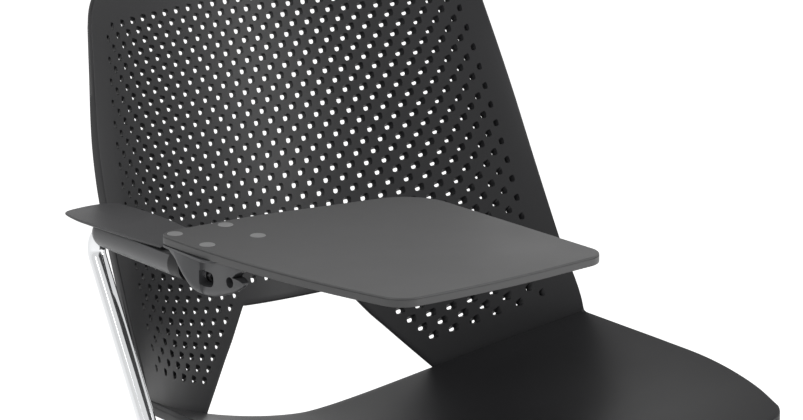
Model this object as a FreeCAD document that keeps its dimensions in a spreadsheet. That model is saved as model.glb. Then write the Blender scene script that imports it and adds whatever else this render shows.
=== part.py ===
import FreeCAD, Part
import Sketcher
import math
import os
from FreeCAD import Placement, Rotation, Vector

# Stacking chair with a one-piece moulded shell, a bent steel tube frame and a folding writing tablet
# on the sitter's right. Lengths are millimetres. The chair faces -Y, +X is the sitter's left, +Z is up.
# The shell is drawn about its own middle plane, with Y zero at the crease where the seat's side meets
# the back's side. Every piece is then shifted so that the origin lies on the floor below the middle of
# the whole chair.

os.makedirs("parts", exist_ok=True)
doc = FreeCAD.newDocument("WritingTabletChair")

# Driving sizes
SIZES = {
    "Shell": {
        "crease_height": 500.0,
        "back_height": 331.0,
        "back_crown": 7.0,
        "shell_half_width": 238.5,
        "seat_side_length": 300.0,
        "seat_front_bulge": 26.0,
        "back_setback": 130.0,
        "back_lean_run": 78.5,
        "back_wrap_depth": 128.0,
        "seat_dish_depth": 82.0,
        "shell_wall": 4.5,
        "rim_depth": 13.0,
        "rim_wall": 4.0,
        "back_corner": 30.0,
        "seat_corner": 22.0,
        "opening_top_height": 25.5,
        "opening_top_half_width": 56.0,
        "opening_foot_half_width": 131.0,
        "opening_foot_drop": 60.0,
        "opening_corner": 4.0,
        "boss_radius": 13.0,
        "boss_spacing": 260.0,
    },
    "Tube frame": {
        "tube_radius": 11.0,
        "tube_wall": 2.0,
        "rail_rear_height": 391.0,
        "rail_front_height": 425.5,
        "rail_spacing": 392.0,
        "foot_spacing": 472.0,
        "front_foot_reach": 275.0,
        "rear_foot_reach": 198.0,
        "front_bend_reach": 236.0,
        "rear_bend_reach": 112.0,
        "bend_radius": 58.0,
        "front_cross_reach": 180.0,
        "rear_cross_reach": 50.0,
        "saddle_length": 34.0,
        "saddle_width": 30.0,
        "saddle_gap": 4.0,
        "fit_clearance": 0.15,
        "seat_clearance": 0.3,
        "screw_radius": 3.0,
        "screw_head_radius": 6.0,
        "screw_head_height": 3.4,
        "screw_bite": 14.0,
    },
    "Foot glides": {
        "glide_height": 9.0,
        "glide_radius": 14.0,
        "glide_chamfer": 2.0,
        "glide_plug_length": 22.0,
    },
    "Arm post and clamp": {
        "arm_axis_reach": 262.0,
        "post_low_reach": 27.3,
        "post_low_rise": 2.0,
        "post_lean_run": 76.3,
        "post_lean_rise": 130.0,
        "post_bend": 38.0,
        "post_radius": 8.0,
        "post_wall": 1.5,
        "post_elbow": 16.0,
        "post_drop": 2.5,
        "post_engagement": 14.5,
        "clamp_length": 46.0,
        "clamp_height": 40.0,
        "clamp_outer_depth": 32.0,
        "clamp_inner_depth": 20.0,
        "clamp_split": 1.5,
        "clamp_corner": 4.0,
        "clamp_socket_depth": 14.0,
        "clamp_bolt_radius": 2.5,
        "clamp_bolt_head_radius": 4.5,
        "clamp_bolt_head_height": 4.0,
        "clamp_bolt_inset": 6.0,
    },
    "Arm": {
        "hinge_rise": 148.5,
        "barrel_radius": 13.5,
        "barrel_rear_reach": 26.5,
        "barrel_front_reach": 90.0,
        "barrel_flat_rise": 7.5,
        "pad_thickness": 4.0,
        "pad_rear_reach": 76.0,
        "pad_front_reach": 74.5,
        "pad_outer_width": 21.0,
        "pad_inner_width": 43.5,
        "pad_edge_round": 1.2,
        "pad_stud_radius": 2.0,
        "pad_stud_length": 9.0,
        "pad_stud_gap": 10.0,
        "pad_stud_spacing": 44.0,
    },
    "Tablet hinge": {
        "spindle_radius": 5.0,
        "spindle_tail": 40.0,
        "spindle_thread_radius": 3.0,
        "spindle_thread_length": 13.0,
        "running_clearance": 0.05,
        "collar_length": 17.0,
        "lug_radius": 10.0,
        "lug_length": 6.0,
        "stop_pin_radius": 1.2,
        "stop_clearance": 0.1,
        "spring_thickness": 1.6,
        "spring_radius": 6.6,
        "nut_across_flats": 10.0,
        "nut_height": 5.0,
        "keel_length": 97.5,
        "keel_depth": 36.0,
        "keel_half_width": 15.9,
        "keel_stern_gap": 1.0,
        "keel_bearing_length": 24.0,
        "keel_hood_clearance": 0.6,
        "keel_flange_thickness": 2.5,
        "keel_flange_width": 80.0,
        "keel_flange_length": 76.0,
        "keel_flange_inset": 3.0,
        "keel_flange_corner": 12.0,
        "nut_pocket_radius": 8.6,
        "nut_pocket_length": 19.0,
        "keel_notch_radius": 4.5,
    },
    "Writing tablet": {
        "tablet_rise": 173.0,
        "tablet_thickness": 8.0,
        "tablet_gap": 1.5,
        "tablet_outer_reach": 15.9,
        "tablet_rear_width": 258.4,
        "tablet_depth": 288.5,
        "tablet_inner_spread": 12.0,
        "tablet_front_slant": 16.8,
        "tablet_front_inset": 47.3,
        "tablet_front_flat_share": 0.45,
        "tablet_front_bow_share": 0.3,
        "tablet_side_inset": 4.7,
        "tablet_side_bow_share": 0.43,
        "tablet_rear_flat": 100.0,
        "tablet_rear_slant": 19.0,
        "tablet_pivot_corner": 15.0,
        "tablet_rear_blend": 200.0,
        "tablet_far_corner": 46.0,
        "tablet_inner_corner": 22.0,
        "tablet_outer_corner": 24.0,
        "tablet_edge_round": 1.2,
        "cap_radius": 6.7,
        "cap_depth": 3.0,
        "cap_proud": 0.4,
        "cap_clearance": 0.1,
        "cap_inset_x": 11.7,
        "cap_inset_y": 12.0,
        "cap_spacing_x": 50.6,
        "cap_spacing_y": 45.0,
        "cap_skew": 3.0,
        "tablet_screw_radius": 2.2,
        "tablet_screw_head_radius": 4.5,
        "tablet_screw_head_height": 2.4,
        "tablet_screw_length": 7.5,
    },
    "Cutting allowance": {
        "overrun": 60.0,
    },
}

sheet = doc.addObject("Spreadsheet::Sheet", "Sizes")
row = 1
for group, values in SIZES.items():
    sheet.set("A%d" % row, group)
    row += 1
    for alias, value in values.items():
        sheet.set("A%d" % row, alias)
        sheet.set("B%d" % row, str(value))
        sheet.setAlias("B%d" % row, alias)
        row += 1

# Sizes worked out from the driving ones
DERIVED = {
    "hinge_height": "crease_height + hinge_rise",
    "tablet_top_height": "crease_height + tablet_rise",
    "tablet_low_height": "tablet_top_height - tablet_thickness",
    "rail_offset": "rail_spacing / 2",
    "foot_offset": "foot_spacing / 2",
    "rail_slope": "(rail_front_height - rail_rear_height) / (front_bend_reach + rear_bend_reach)",
    "front_cross_height": "rail_rear_height + rail_slope * (rear_bend_reach + front_cross_reach)",
    "rear_cross_height": "rail_rear_height + rail_slope * (rear_bend_reach - rear_cross_reach)",
    "saddle_height": "tube_radius + saddle_gap",
    "tablet_outer": "arm_axis_reach + tablet_outer_reach",
    "tablet_rear": "pad_front_reach + tablet_gap",
    "tablet_front": "tablet_rear + tablet_depth",
    "tablet_front_length": "tablet_rear_width + tablet_inner_spread - tablet_front_inset",
    "tablet_front_flat": "tablet_front_inset + tablet_front_flat_share * tablet_front_length",
    "tablet_front_blend": "tablet_front_bow_share * tablet_front_length ^ 2 / tablet_front_slant",
    "tablet_side_reach": "tablet_depth / 2",
    "tablet_side_turn": "tablet_front_inset - 2 * tablet_side_inset",
    "tablet_side_blend": "tablet_side_bow_share * tablet_depth ^ 2 / tablet_side_turn",
    "tablet_side_length": "sqrt(tablet_side_inset ^ 2 + tablet_side_reach ^ 2)",
    "tablet_corner_run": "(tablet_side_length + tablet_side_inset) / tablet_side_reach - 1",
    "tablet_extent": "tablet_outer - tablet_pivot_corner * tablet_corner_run",
    "pad_extent": "arm_axis_reach + pad_outer_width",
    "bush_length": "collar_length + lug_length",
    "spindle_reach": "barrel_front_reach + bush_length + keel_bearing_length",
    "centre_shift_x": "(max(tablet_extent; pad_extent) - foot_offset - glide_radius) / 2",
    "centre_shift_y": "(tablet_front - back_setback - back_lean_run - rim_depth) / 2",
}
for alias, formula in DERIVED.items():
    sheet.set("A%d" % row, alias)
    sheet.set("B%d" % row, "=" + formula)
    sheet.setAlias("B%d" % row, alias)
    row += 1
doc.recompute()


def size(alias):
    return float(sheet.get(alias))


nodes = []


def finish(obj, label):
    """Name a sub-part and shift it from the shell's middle plane to the chair's own origin."""
    obj.Label = label
    obj.setExpression("Placement.Base.x", "Sizes.centre_shift_x")
    obj.setExpression("Placement.Base.y", "Sizes.centre_shift_y")
    nodes.append(obj)
    return obj


def feature(label, shape):
    """A sub-part whose shape is worked out here; its placement is set after its shape."""
    obj = doc.addObject("Part::Feature", label)
    obj.Shape = shape
    obj.Placement = Placement(Vector(0, 0, 0), Rotation())
    return finish(obj, label)


AXIS_TURN = {
    "X": Rotation(Vector(0, 1, 0), 90),
    "Y": Rotation(Vector(1, 0, 0), -90),
    "Z": Rotation(),
}


def bind(obj, **formulas):
    """Bind properties of an object to the sheet; place_x, place_y, place_z set its position."""
    for name, formula in formulas.items():
        path = name
        if name.startswith("place_"):
            path = "Placement.Base." + name[-1]
        obj.setExpression(path, formula)
    return obj


def cylinder(name, axis, **formulas):
    obj = doc.addObject("Part::Cylinder", name)
    obj.Placement = Placement(Vector(0, 0, 0), AXIS_TURN[axis])
    return bind(obj, **formulas)


def box(name, **formulas):
    return bind(doc.addObject("Part::Box", name), **formulas)


def cut(name, base, tool):
    obj = doc.addObject("Part::Cut", name)
    obj.Base = base
    obj.Tool = tool
    return obj


def fuse(name, pieces):
    obj = doc.addObject("Part::MultiFuse", name)
    obj.Shapes = pieces
    obj.Refine = True
    return obj


def spline(points):
    curve = Part.BSplineCurve()
    curve.interpolate(points)
    return curve


def bezier(points):
    curve = Part.BezierCurve()
    curve.setPoles(points)
    return curve


# Seat shell
# The shell is one moulding. Its two show faces are smooth surfaces through rows of points: the back's
# rows lie at shares of its height, the seat's rows at shares of its side length. The wall lies between
# each show face and the same face moved out by the wall, and a rim turned away from the sitter runs
# round the whole outline.
BACK_HEIGHT_SHARES = (-0.33, 0.0, 0.2, 0.4, 0.6, 0.8, 1.0, 1.08)
BACK_LEAN_SHARES = (-0.34, 0.0, 0.177, 0.326, 0.511, 0.745, 1.0, 1.11)
BACK_WRAP_SHARES = (0.75, 1.0, 0.843, 0.68, 0.568, 0.52, 0.484, 0.466)
BACK_WIDTH_SHARES = (1.0, 1.0, 0.982, 0.966, 0.942, 0.897, 0.847, 0.82)
BACK_WRAP_POWER = 1.88
SEAT_LENGTH_SHARES = (0.95, 0.38, 0.17, 0.0, -0.2, -0.4, -0.6, -0.8, -0.93, -1.05, -1.15)
SEAT_DISH_SHARES = (0.98, 1.0, 1.01, 1.0, 0.945, 0.85, 0.745, 0.66, 0.655, 0.74, 0.93)
SEAT_SIDE_SHARES = (0.0, 0.0, 0.0, 0.0, 0.0, 0.0, 0.012, 0.07, 0.145, 0.26, 0.42)
SEAT_DISH_POWER = 1.65
BACK_ACROSS_SHARES = (-1.1, -0.85, -0.58, -0.3, 0.0, 0.3, 0.58, 0.85, 1.1)
SEAT_ACROSS_SHARES = (-1.08, -0.84, -0.58, -0.3, 0.0, 0.3, 0.58, 0.84, 1.08)

half = size("shell_half_width")
wall = size("shell_wall")
crease = size("crease_height")
overrun = size("overrun")


def offset_lengthening(slope_across, slope_along):
    """How much longer a wall is along the pull direction than square to the sloping face."""
    return math.sqrt(1 + slope_across ** 2 + slope_along ** 2)


def back_face(offset, square):
    """The back's show face moved rearwards by offset, square to the face or straight back."""
    rows = []
    height = size("back_height")
    for index, share in enumerate(BACK_HEIGHT_SHARES):
        half_width = half * BACK_WIDTH_SHARES[index]
        middle = size("back_setback") + size("back_lean_run") * BACK_LEAN_SHARES[index]
        wrap = size("back_wrap_depth") * BACK_WRAP_SHARES[index]
        lean = size("back_lean_run") / height
        line = []
        for station in BACK_ACROSS_SHARES:
            across = station * half / half_width
            slope = BACK_WRAP_POWER * wrap * abs(across) ** (BACK_WRAP_POWER - 1) / half_width
            reach = offset
            if square:
                reach = offset * offset_lengthening(slope, lean)
            depth = middle - wrap * abs(across) ** BACK_WRAP_POWER + reach
            line.append(Vector(station * half, depth, crease + share * height))
        rows.append(line)
    surface = Part.BSplineSurface()
    surface.interpolate(rows)
    return surface.toShape()


def seat_face(offset):
    """The seat's show face moved down by offset, square to the face."""
    rows = []
    for index, share in enumerate(SEAT_LENGTH_SHARES):
        low = size("seat_dish_depth") * SEAT_DISH_SHARES[index]
        side = size("seat_dish_depth") * SEAT_SIDE_SHARES[index]
        line = []
        for across in SEAT_ACROSS_SHARES:
            slope = SEAT_DISH_POWER * (low - side) * abs(across) ** (SEAT_DISH_POWER - 1) / half
            drop = low - (low - side) * abs(across) ** SEAT_DISH_POWER
            drop += offset * offset_lengthening(slope, 0)
            line.append(Vector(across * half, share * size("seat_side_length"), crease - drop))
        rows.append(line)
    surface = Part.BSplineSurface()
    surface.interpolate(rows)
    return surface.toShape()


def sitter_side(offset, square):
    """The space on the sitter's side of both show faces moved out by offset."""
    reach = size("back_height") + size("seat_side_length") + overrun
    before_back = back_face(offset, square).extrude(Vector(0, -reach, 0))
    above_seat = seat_face(offset).extrude(Vector(0, 0, reach))
    return before_back.common(above_seat)


def back_outline(inset):
    """The shell's outline seen from the front, a face in the XZ plane ahead of the chair."""
    ahead = -size("seat_side_length") - overrun
    top = crease + size("back_height") - inset
    corner = size("back_corner") - inset
    right = []
    for index in range(1, len(BACK_HEIGHT_SHARES) - 2):
        level = crease + BACK_HEIGHT_SHARES[index] * size("back_height")
        right.append(Vector(half * BACK_WIDTH_SHARES[index] - inset, ahead, level))
    last = half * BACK_WIDTH_SHARES[-2] - inset
    lean = (right[-1].x - last) / (crease + size("back_height") - right[-1].z)
    start = Vector(last + lean * corner, ahead, top - corner)
    right.append(start)
    tip = Vector(last, ahead, top)
    end = Vector(last - corner, ahead, top)
    foot = Vector(half - inset, ahead, crease - size("seat_dish_depth") - overrun)
    crown = Vector(0, ahead, top + size("back_crown"))
    edges = [spline(right).toShape(), bezier([start, tip, end]).toShape()]
    edges.append(bezier([end, crown, mirrored(end)]).toShape())
    edges.append(bezier([mirrored(end), mirrored(tip), mirrored(start)]).toShape())
    edges.append(spline([mirrored(point) for point in reversed(right)]).toShape())
    edges.append(Part.makeLine(mirrored(right[0]), mirrored(foot)))
    edges.append(Part.makeLine(mirrored(foot), foot))
    edges.append(Part.makeLine(foot, right[0]))
    return Part.Face(Part.Wire(edges))


def mirrored(point):
    return Vector(-point.x, point.y, point.z)


SEAT_TAPER_LENGTH_SHARES = (-0.6, -0.73, -0.85, -0.93)
SEAT_TAPER_WIDTH_SHARES = (1.0, 0.994, 0.981, 0.966)


def seat_outline(inset):
    """The shell's outline seen from above, a face below the chair."""
    below = crease - size("seat_dish_depth") - overrun
    length = size("seat_side_length")
    corner = size("seat_corner") - inset
    right = []
    for along, across in zip(SEAT_TAPER_LENGTH_SHARES, SEAT_TAPER_WIDTH_SHARES):
        right.append(Vector(half * across - inset, along * length, below))
    start = right[-1]
    tip = Vector(start.x - inset / 2, -length + inset, below)
    end = Vector(start.x - corner, -length + inset, below)
    bulge = Vector(0, -length + inset - 2 * size("seat_front_bulge"), below)
    back = Vector(half - inset, size("back_height"), below)
    edges = [Part.makeLine(mirrored(back), back), Part.makeLine(back, right[0])]
    edges.append(spline(right).toShape())
    edges.append(bezier([start, tip, end]).toShape())
    edges.append(bezier([end, bulge, mirrored(end)]).toShape())
    edges.append(bezier([mirrored(end), mirrored(tip), mirrored(start)]).toShape())
    edges.append(spline([mirrored(point) for point in reversed(right)]).toShape())
    edges.append(Part.makeLine(mirrored(right[0]), mirrored(back)))
    return Part.Face(Part.Wire(edges))


def shell_outline(inset):
    deep = size("seat_side_length") + size("back_height") + 2 * overrun
    tall = size("back_height") + size("seat_dish_depth") + 2 * overrun
    front_view = back_outline(inset).extrude(Vector(0, deep, 0))
    top_view = seat_outline(inset).extrude(Vector(0, 0, tall))
    return front_view.common(top_view)


def back_opening():
    """The gap between the seat's rear edge and the back's lower edge, seen from the front."""
    top = crease + size("opening_top_height")
    foot = crease - size("opening_foot_drop")
    low = foot - overrun
    narrow = size("opening_top_half_width")
    wide = size("opening_foot_half_width")
    corners = [Vector(-narrow, 0, top), Vector(narrow, 0, top), Vector(wide, 0, foot)]
    corners += [Vector(wide, 0, low), Vector(-wide, 0, low), Vector(-wide, 0, foot)]
    face = Part.Face(Part.makePolygon(corners + [corners[0]]))
    prism = face.extrude(Vector(0, size("back_height"), 0))
    upright = [edge for edge in prism.Edges if is_top_corner(edge, top)]
    return prism.makeFillet(size("opening_corner"), upright)


def is_top_corner(edge, level):
    ends = [vertex.Point for vertex in edge.Vertexes]
    level_ends = [abs(point.z - level) < Part.Precision.confusion() for point in ends]
    return all(level_ends) and abs(ends[0].x - ends[1].x) < Part.Precision.confusion()


CROSS_TUBES = (
    ("front", -size("front_cross_reach"), size("front_cross_height")),
    ("rear", size("rear_cross_reach"), size("rear_cross_height")),
)


def boss(side, reach, tube_height):
    """A moulded stud under the seat that stands on one saddle, with its blind screw hole."""
    foot = tube_height + size("saddle_height")
    middle = Vector(side * size("boss_spacing") / 2, reach, foot)
    height = crease - foot
    stud = Part.makeCylinder(size("boss_radius"), height, middle)
    bite = size("screw_bite")
    hole = Part.makeCylinder(size("screw_radius") + size("fit_clearance"), bite, middle)
    return stud.cut(hole)


def make_shell():
    show = sitter_side(0.0, True)
    outline = shell_outline(0.0)
    skin = sitter_side(wall, True).cut(show).common(outline)
    rim_space = outline.cut(shell_outline(size("rim_wall")))
    rim = sitter_side(size("rim_depth"), False).cut(show).common(rim_space)
    shell = skin.fuse(rim)
    before_back = back_face(0.0, True).extrude(Vector(0, -size("seat_side_length"), 0))
    shell = shell.cut(back_opening().cut(before_back))
    above_seat = seat_face(wall / 2).extrude(Vector(0, 0, size("back_height")))
    for side in (-1, 1):
        for name, reach, tube_height in CROSS_TUBES:
            shell = shell.fuse(boss(side, reach, tube_height).cut(above_seat))
    return shell.removeSplitter()


feature("seat_shell", make_shell())


# Tube frame
# Each side frame is one bent steel tube: front leg, seat rail and rear leg. The rail rises towards the
# front and the legs lean outwards. Two cross tubes, coped at their ends, are welded between the rails.
def tube_path(points, bends):
    """Straight runs joined by arcs that are tangent to them, one bend radius for each corner."""
    edges = []
    start = points[0]
    for index, radius in enumerate(bends, 1):
        corner = points[index]
        back = (points[index - 1] - corner).normalize()
        ahead = (points[index + 1] - corner).normalize()
        half_turn = (math.pi - back.getAngle(ahead)) / 2
        setback = radius * math.tan(half_turn)
        into = corner + back * setback
        out = corner + ahead * setback
        bisector = (back + ahead).normalize()
        middle = corner + bisector * (radius / math.cos(half_turn) - radius)
        edges.append(Part.makeLine(start, into))
        edges.append(Part.Arc(into, middle, out).toShape())
        start = out
    edges.append(Part.makeLine(start, points[-1]))
    return Part.Wire(edges)


def swept_round(path, radius):
    direction = path.Edges[0].tangentAt(path.Edges[0].FirstParameter)
    start = path.Edges[0].valueAt(path.Edges[0].FirstParameter)
    profile = Part.Wire([Part.makeCircle(radius, start, direction)])
    return path.makePipeShell([profile], True, False)


def hollow_tube(path, radius, tube_wall):
    return swept_round(path, radius).cut(swept_round(path, radius - tube_wall))


def side_points(side):
    rail = side * size("rail_offset")
    foot = side * size("foot_offset")
    bottom = size("glide_height")
    return [
        Vector(foot, -size("front_foot_reach"), bottom),
        Vector(rail, -size("front_bend_reach"), size("rail_front_height")),
        Vector(rail, size("rear_bend_reach"), size("rail_rear_height")),
        Vector(foot, size("rear_foot_reach"), bottom),
    ]


def level_end(tube):
    """Cut a leg's end level with the top of its glide."""
    reach = size("front_foot_reach") + size("rear_foot_reach") + size("foot_spacing")
    corner = Vector(-reach / 2, -reach / 2, size("glide_height") - overrun)
    return tube.cut(Part.makeBox(reach, reach, overrun, corner))


def side_path(side):
    points = side_points(side)
    lead = size("tube_radius")
    first = points[0] - (points[1] - points[0]).normalize() * lead
    last = points[-1] + (points[-1] - points[-2]).normalize() * lead
    return tube_path([first] + points[1:-1] + [last], [size("bend_radius")] * 2)


def screw_hole(side, reach, tube_height):
    low = tube_height - 2 * size("tube_radius")
    place = Vector(side * size("boss_spacing") / 2, reach, low)
    return Part.makeCylinder(size("screw_radius") + size("fit_clearance"), overrun, place)


side_frames = {}
for side, name in ((1, "left"), (-1, "right")):
    side_frames[side] = swept_round(side_path(side), size("tube_radius"))
    tube = hollow_tube(side_path(side), size("tube_radius"), size("tube_wall"))
    feature(name + "_side_frame", level_end(tube))

for name, reach, tube_height in CROSS_TUBES:
    start = Vector(-size("rail_offset"), reach, tube_height)
    end = Vector(size("rail_offset"), reach, tube_height)
    cross_path = Part.Wire([Part.makeLine(start, end)])
    cross = hollow_tube(cross_path, size("tube_radius"), size("tube_wall"))
    for side in (-1, 1):
        cross = cross.cut(side_frames[side])
        cross = cross.cut(screw_hole(side, reach, tube_height))
    feature(name + "_cross_tube", cross)

# Saddles and their screws
# Four nylon saddles sit on the cross tubes and carry the shell's bosses. A screw goes up through the
# tube and the saddle into each boss.
saddle_places = []
for end_sign, end_label in (("-", "front"), ("", "rear")):
    for side_sign, side_label in (("", "left"), ("-", "right")):
        saddle_places.append((end_sign, end_label, side_sign, side_label))

for end_sign, end_label, side_sign, side_label in saddle_places:
    name = end_label + "_" + side_label
    reach = end_sign + "Sizes." + end_label + "_cross_reach"
    level = "Sizes." + end_label + "_cross_height"
    middle = side_sign + "Sizes.boss_spacing / 2"
    block = box(
        name + "_saddle_block",
        Length="Sizes.saddle_length",
        Width="Sizes.saddle_width",
        Height="Sizes.saddle_height",
        place_x=middle + " - Sizes.saddle_length / 2",
        place_y=reach + " - Sizes.saddle_width / 2",
        place_z=level,
    )
    channel = cylinder(
        name + "_saddle_channel",
        "X",
        Radius="Sizes.tube_radius + Sizes.fit_clearance",
        Height="Sizes.saddle_length + 2 * Sizes.overrun",
        place_x=middle + " - Sizes.saddle_length / 2 - Sizes.overrun",
        place_y=reach,
        place_z=level,
    )
    hole = cylinder(
        name + "_saddle_hole",
        "Z",
        Radius="Sizes.screw_radius + Sizes.fit_clearance",
        Height="Sizes.overrun",
        place_x=middle,
        place_y=reach,
        place_z=level,
    )
    grooved = cut(name + "_saddle_grooved", block, channel)
    finish(cut(name + "_saddle", grooved, hole), name + "_saddle")


def saddle_screw(side, reach, tube_height):
    """A pan-head screw from below the cross tube up into the boss."""
    seat = tube_height - size("tube_radius")
    head_base = seat - size("screw_head_height")
    middle = Vector(side * size("boss_spacing") / 2, reach, head_base)
    tip = tube_height + size("saddle_height") + size("screw_bite") - size("seat_clearance")
    shank = Part.makeCylinder(size("screw_radius"), tip - head_base, middle)
    head_length = size("screw_head_height") + size("tube_wall")
    head = Part.makeCylinder(size("screw_head_radius"), head_length, middle)
    tube = Part.makeCylinder(
        size("tube_radius"),
        2 * size("screw_head_radius"),
        Vector(middle.x - size("screw_head_radius"), reach, tube_height),
        Vector(1, 0, 0),
    )
    return shank.fuse(head.cut(tube))


screws = []
for side in (-1, 1):
    for name, reach, tube_height in CROSS_TUBES:
        screws.append(saddle_screw(side, reach, tube_height))
feature("saddle_screws", Part.makeCompound(screws))


# Foot glides
# Turned nylon feet: a ribbed plug sits in the tube's end and a flanged sole carries the leg.
def leg_direction(side, front):
    points = side_points(side)
    if front:
        return (points[1] - points[0]).normalize(), points[0]
    return (points[2] - points[3]).normalize(), points[3]


def make_glide(side, front):
    direction, end = leg_direction(side, front)
    height = size("glide_height")
    chamfer = size("glide_chamfer")
    radius = size("glide_radius")
    foot = Vector(end.x, end.y, 0)
    lower = Part.makeCone(radius - chamfer, radius, chamfer, foot)
    upper = Part.makeCylinder(radius, height - chamfer, foot + Vector(0, 0, chamfer))
    bore = size("tube_radius") - size("tube_wall") - size("fit_clearance")
    start = end - direction * height / 2
    plug = Part.makeCylinder(bore, size("glide_plug_length") + height / 2, start, direction)
    below = Part.makeBox(4 * radius, 4 * radius, height, foot - Vector(2 * radius, 2 * radius, 0))
    return lower.fuse(upper).fuse(plug.cut(below)).removeSplitter()


for side, side_label in ((1, "left"), (-1, "right")):
    for front, end_label in ((True, "front"), (False, "rear")):
        feature(end_label + "_" + side_label + "_glide", make_glide(side, front))

# Arm post
# One bent chromed tube, slimmer than the frame's: it leans back beside the shell and turns inwards under
# the seat into the clamp on the right-hand rail. Its top turns forward in a tight elbow and is fixed in
# the rear end of the arm barrel.
arm_x = -size("arm_axis_reach")
lean = size("post_lean_run") / size("post_lean_rise")
low_height = crease + size("post_low_rise")
hinge_height = size("hinge_height")


def post_reach(height):
    return -size("post_low_reach") + lean * (height - low_height)


post_height = hinge_height - size("post_drop")
post_end = size("barrel_rear_reach") - size("post_engagement")
slope = size("rail_slope")
rail_run = size("rear_bend_reach") + size("post_low_reach") + lean * low_height
clamp_rise = (size("rail_rear_height") + slope * rail_run) / (1 + slope * lean)
clamp_reach = post_reach(clamp_rise)
clamp_face = -size("rail_offset") - size("clamp_outer_depth")


def post_path():
    top_end = Vector(arm_x, post_end, post_height)
    elbow = Vector(arm_x, post_reach(post_height), post_height)
    corner = Vector(arm_x, clamp_reach, clamp_rise)
    end = Vector(clamp_face + size("clamp_socket_depth") - size("seat_clearance"), clamp_reach, corner.z)
    return tube_path([top_end, elbow, corner, end], [size("post_elbow"), size("post_bend")])


feature("arm_post", hollow_tube(post_path(), size("post_radius"), size("post_wall")))


# Post clamp
# Two aluminium halves close round the seat rail and are drawn together by two cap screws. The outer
# half has the socket that takes the lower end of the arm post.
clamp_middle = Vector(-size("rail_offset"), clamp_reach, clamp_rise)
across = Vector(1, 0, 0)


def turn_to_rail(shapes):
    """Turn shapes drawn level about the clamp's middle until they follow the rising rail."""
    for shape in shapes:
        shape.rotate(clamp_middle, across, -math.degrees(math.atan(slope)))


def clamp_block(inner_reach, outer_reach, rounded):
    """A block beside the rail between two distances from the rail's middle, round on one face."""
    corner = clamp_middle - Vector(-inner_reach, size("clamp_length") / 2, size("clamp_height") / 2)
    block = Part.makeBox(outer_reach - inner_reach, size("clamp_length"), size("clamp_height"), corner)
    edges = [edge for edge in block.Edges if edge_is_on_plane(edge, clamp_middle.x + rounded)]
    block = block.makeFillet(size("clamp_corner"), edges)
    start = clamp_middle - Vector(0, overrun, 0)
    bore_radius = size("tube_radius") + size("fit_clearance")
    return block.cut(Part.makeCylinder(bore_radius, 2 * overrun, start, Vector(0, 1, 0)))


def edge_is_on_plane(edge, level):
    return all(abs(vertex.Point.x - level) < Part.Precision.confusion() for vertex in edge.Vertexes)


def clamp_bolt_rises():
    """The two clamp bolts pass above and below the rail."""
    rise = size("clamp_height") / 2 - size("clamp_bolt_inset")
    return [-rise, rise]


def clamp_bolt_hole(rise, inner_reach, outer_reach):
    start = clamp_middle + Vector(inner_reach, 0, rise)
    hole_radius = size("clamp_bolt_radius") + size("fit_clearance")
    return Part.makeCylinder(hole_radius, outer_reach - inner_reach, start, across)


def make_clamp_outer():
    depth = size("clamp_outer_depth")
    block = clamp_block(-depth, -size("clamp_split") / 2, -depth)
    socket_mouth = clamp_middle - Vector(depth, 0, 0)
    socket_radius = size("post_radius") + size("fit_clearance")
    holes = [Part.makeCylinder(socket_radius, size("clamp_socket_depth"), socket_mouth, across)]
    thread = depth - size("clamp_socket_depth")
    holes += [clamp_bolt_hole(rise, -thread, 0) for rise in clamp_bolt_rises()]
    turn_to_rail([block] + holes)
    return block.cut(holes)


def make_clamp_inner():
    depth = size("clamp_inner_depth")
    block = clamp_block(size("clamp_split") / 2, depth, depth)
    holes = [clamp_bolt_hole(rise, 0, depth + overrun) for rise in clamp_bolt_rises()]
    turn_to_rail([block] + holes)
    return block.cut(holes)


def make_clamp_bolt(rise):
    thread = size("clamp_outer_depth") - size("clamp_socket_depth") - size("seat_clearance")
    start = clamp_middle + Vector(-thread, 0, rise)
    shank = Part.makeCylinder(size("clamp_bolt_radius"), thread + size("clamp_inner_depth"), start, across)
    seat = clamp_middle + Vector(size("clamp_inner_depth"), 0, rise)
    head = Part.makeCylinder(size("clamp_bolt_head_radius"), size("clamp_bolt_head_height"), seat, across)
    turn_to_rail([shank, head])
    return shank.fuse(head)


feature("post_clamp_outer", make_clamp_outer())
feature("post_clamp_inner", make_clamp_inner())
feature("clamp_bolts", Part.makeCompound([make_clamp_bolt(rise) for rise in clamp_bolt_rises()]))


# Arm barrel
# A moulded nylon arm: a round barrel along Y with a flat on top for the pad. Its domed rear end takes
# the elbow of the post, and the hinge spindle is fixed in its front end.
def make_barrel():
    radius = size("barrel_radius")
    front = Vector(arm_x, -size("barrel_front_reach"), hinge_height)
    length = size("barrel_front_reach") + size("barrel_rear_reach")
    tube = Part.makeCylinder(radius, length, front, Vector(0, 1, 0))
    end = Part.makeSphere(radius, Vector(arm_x, size("barrel_rear_reach"), hinge_height))
    body = tube.fuse(end)
    flat = hinge_height + size("barrel_flat_rise")
    reach = size("barrel_front_reach") + size("barrel_rear_reach") + overrun
    corner = Vector(arm_x - reach / 2, -size("barrel_front_reach") - overrun / 2, flat)
    body = body.cut(Part.makeBox(reach, reach + overrun, overrun, corner))
    socket = swept_round(post_path(), size("post_radius") + size("fit_clearance"))
    spindle_hole = Part.makeCylinder(
        size("spindle_radius") + size("fit_clearance"), size("spindle_tail"), front, Vector(0, 1, 0)
    )
    body = body.cut(socket).cut(spindle_hole)
    for place in pad_stud_places():
        start = Vector(arm_x, place, flat - size("pad_stud_length") + size("pad_thickness"))
        hole = Part.makeCylinder(size("pad_stud_radius") + size("fit_clearance"), overrun, start)
        body = body.cut(hole)
    return body.removeSplitter()


def pad_stud_places():
    """The pad's studs stand between the end of the post and the inner end of the hinge spindle."""
    rear = post_end - size("pad_stud_gap")
    return [rear, rear - size("pad_stud_spacing")]


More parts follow.
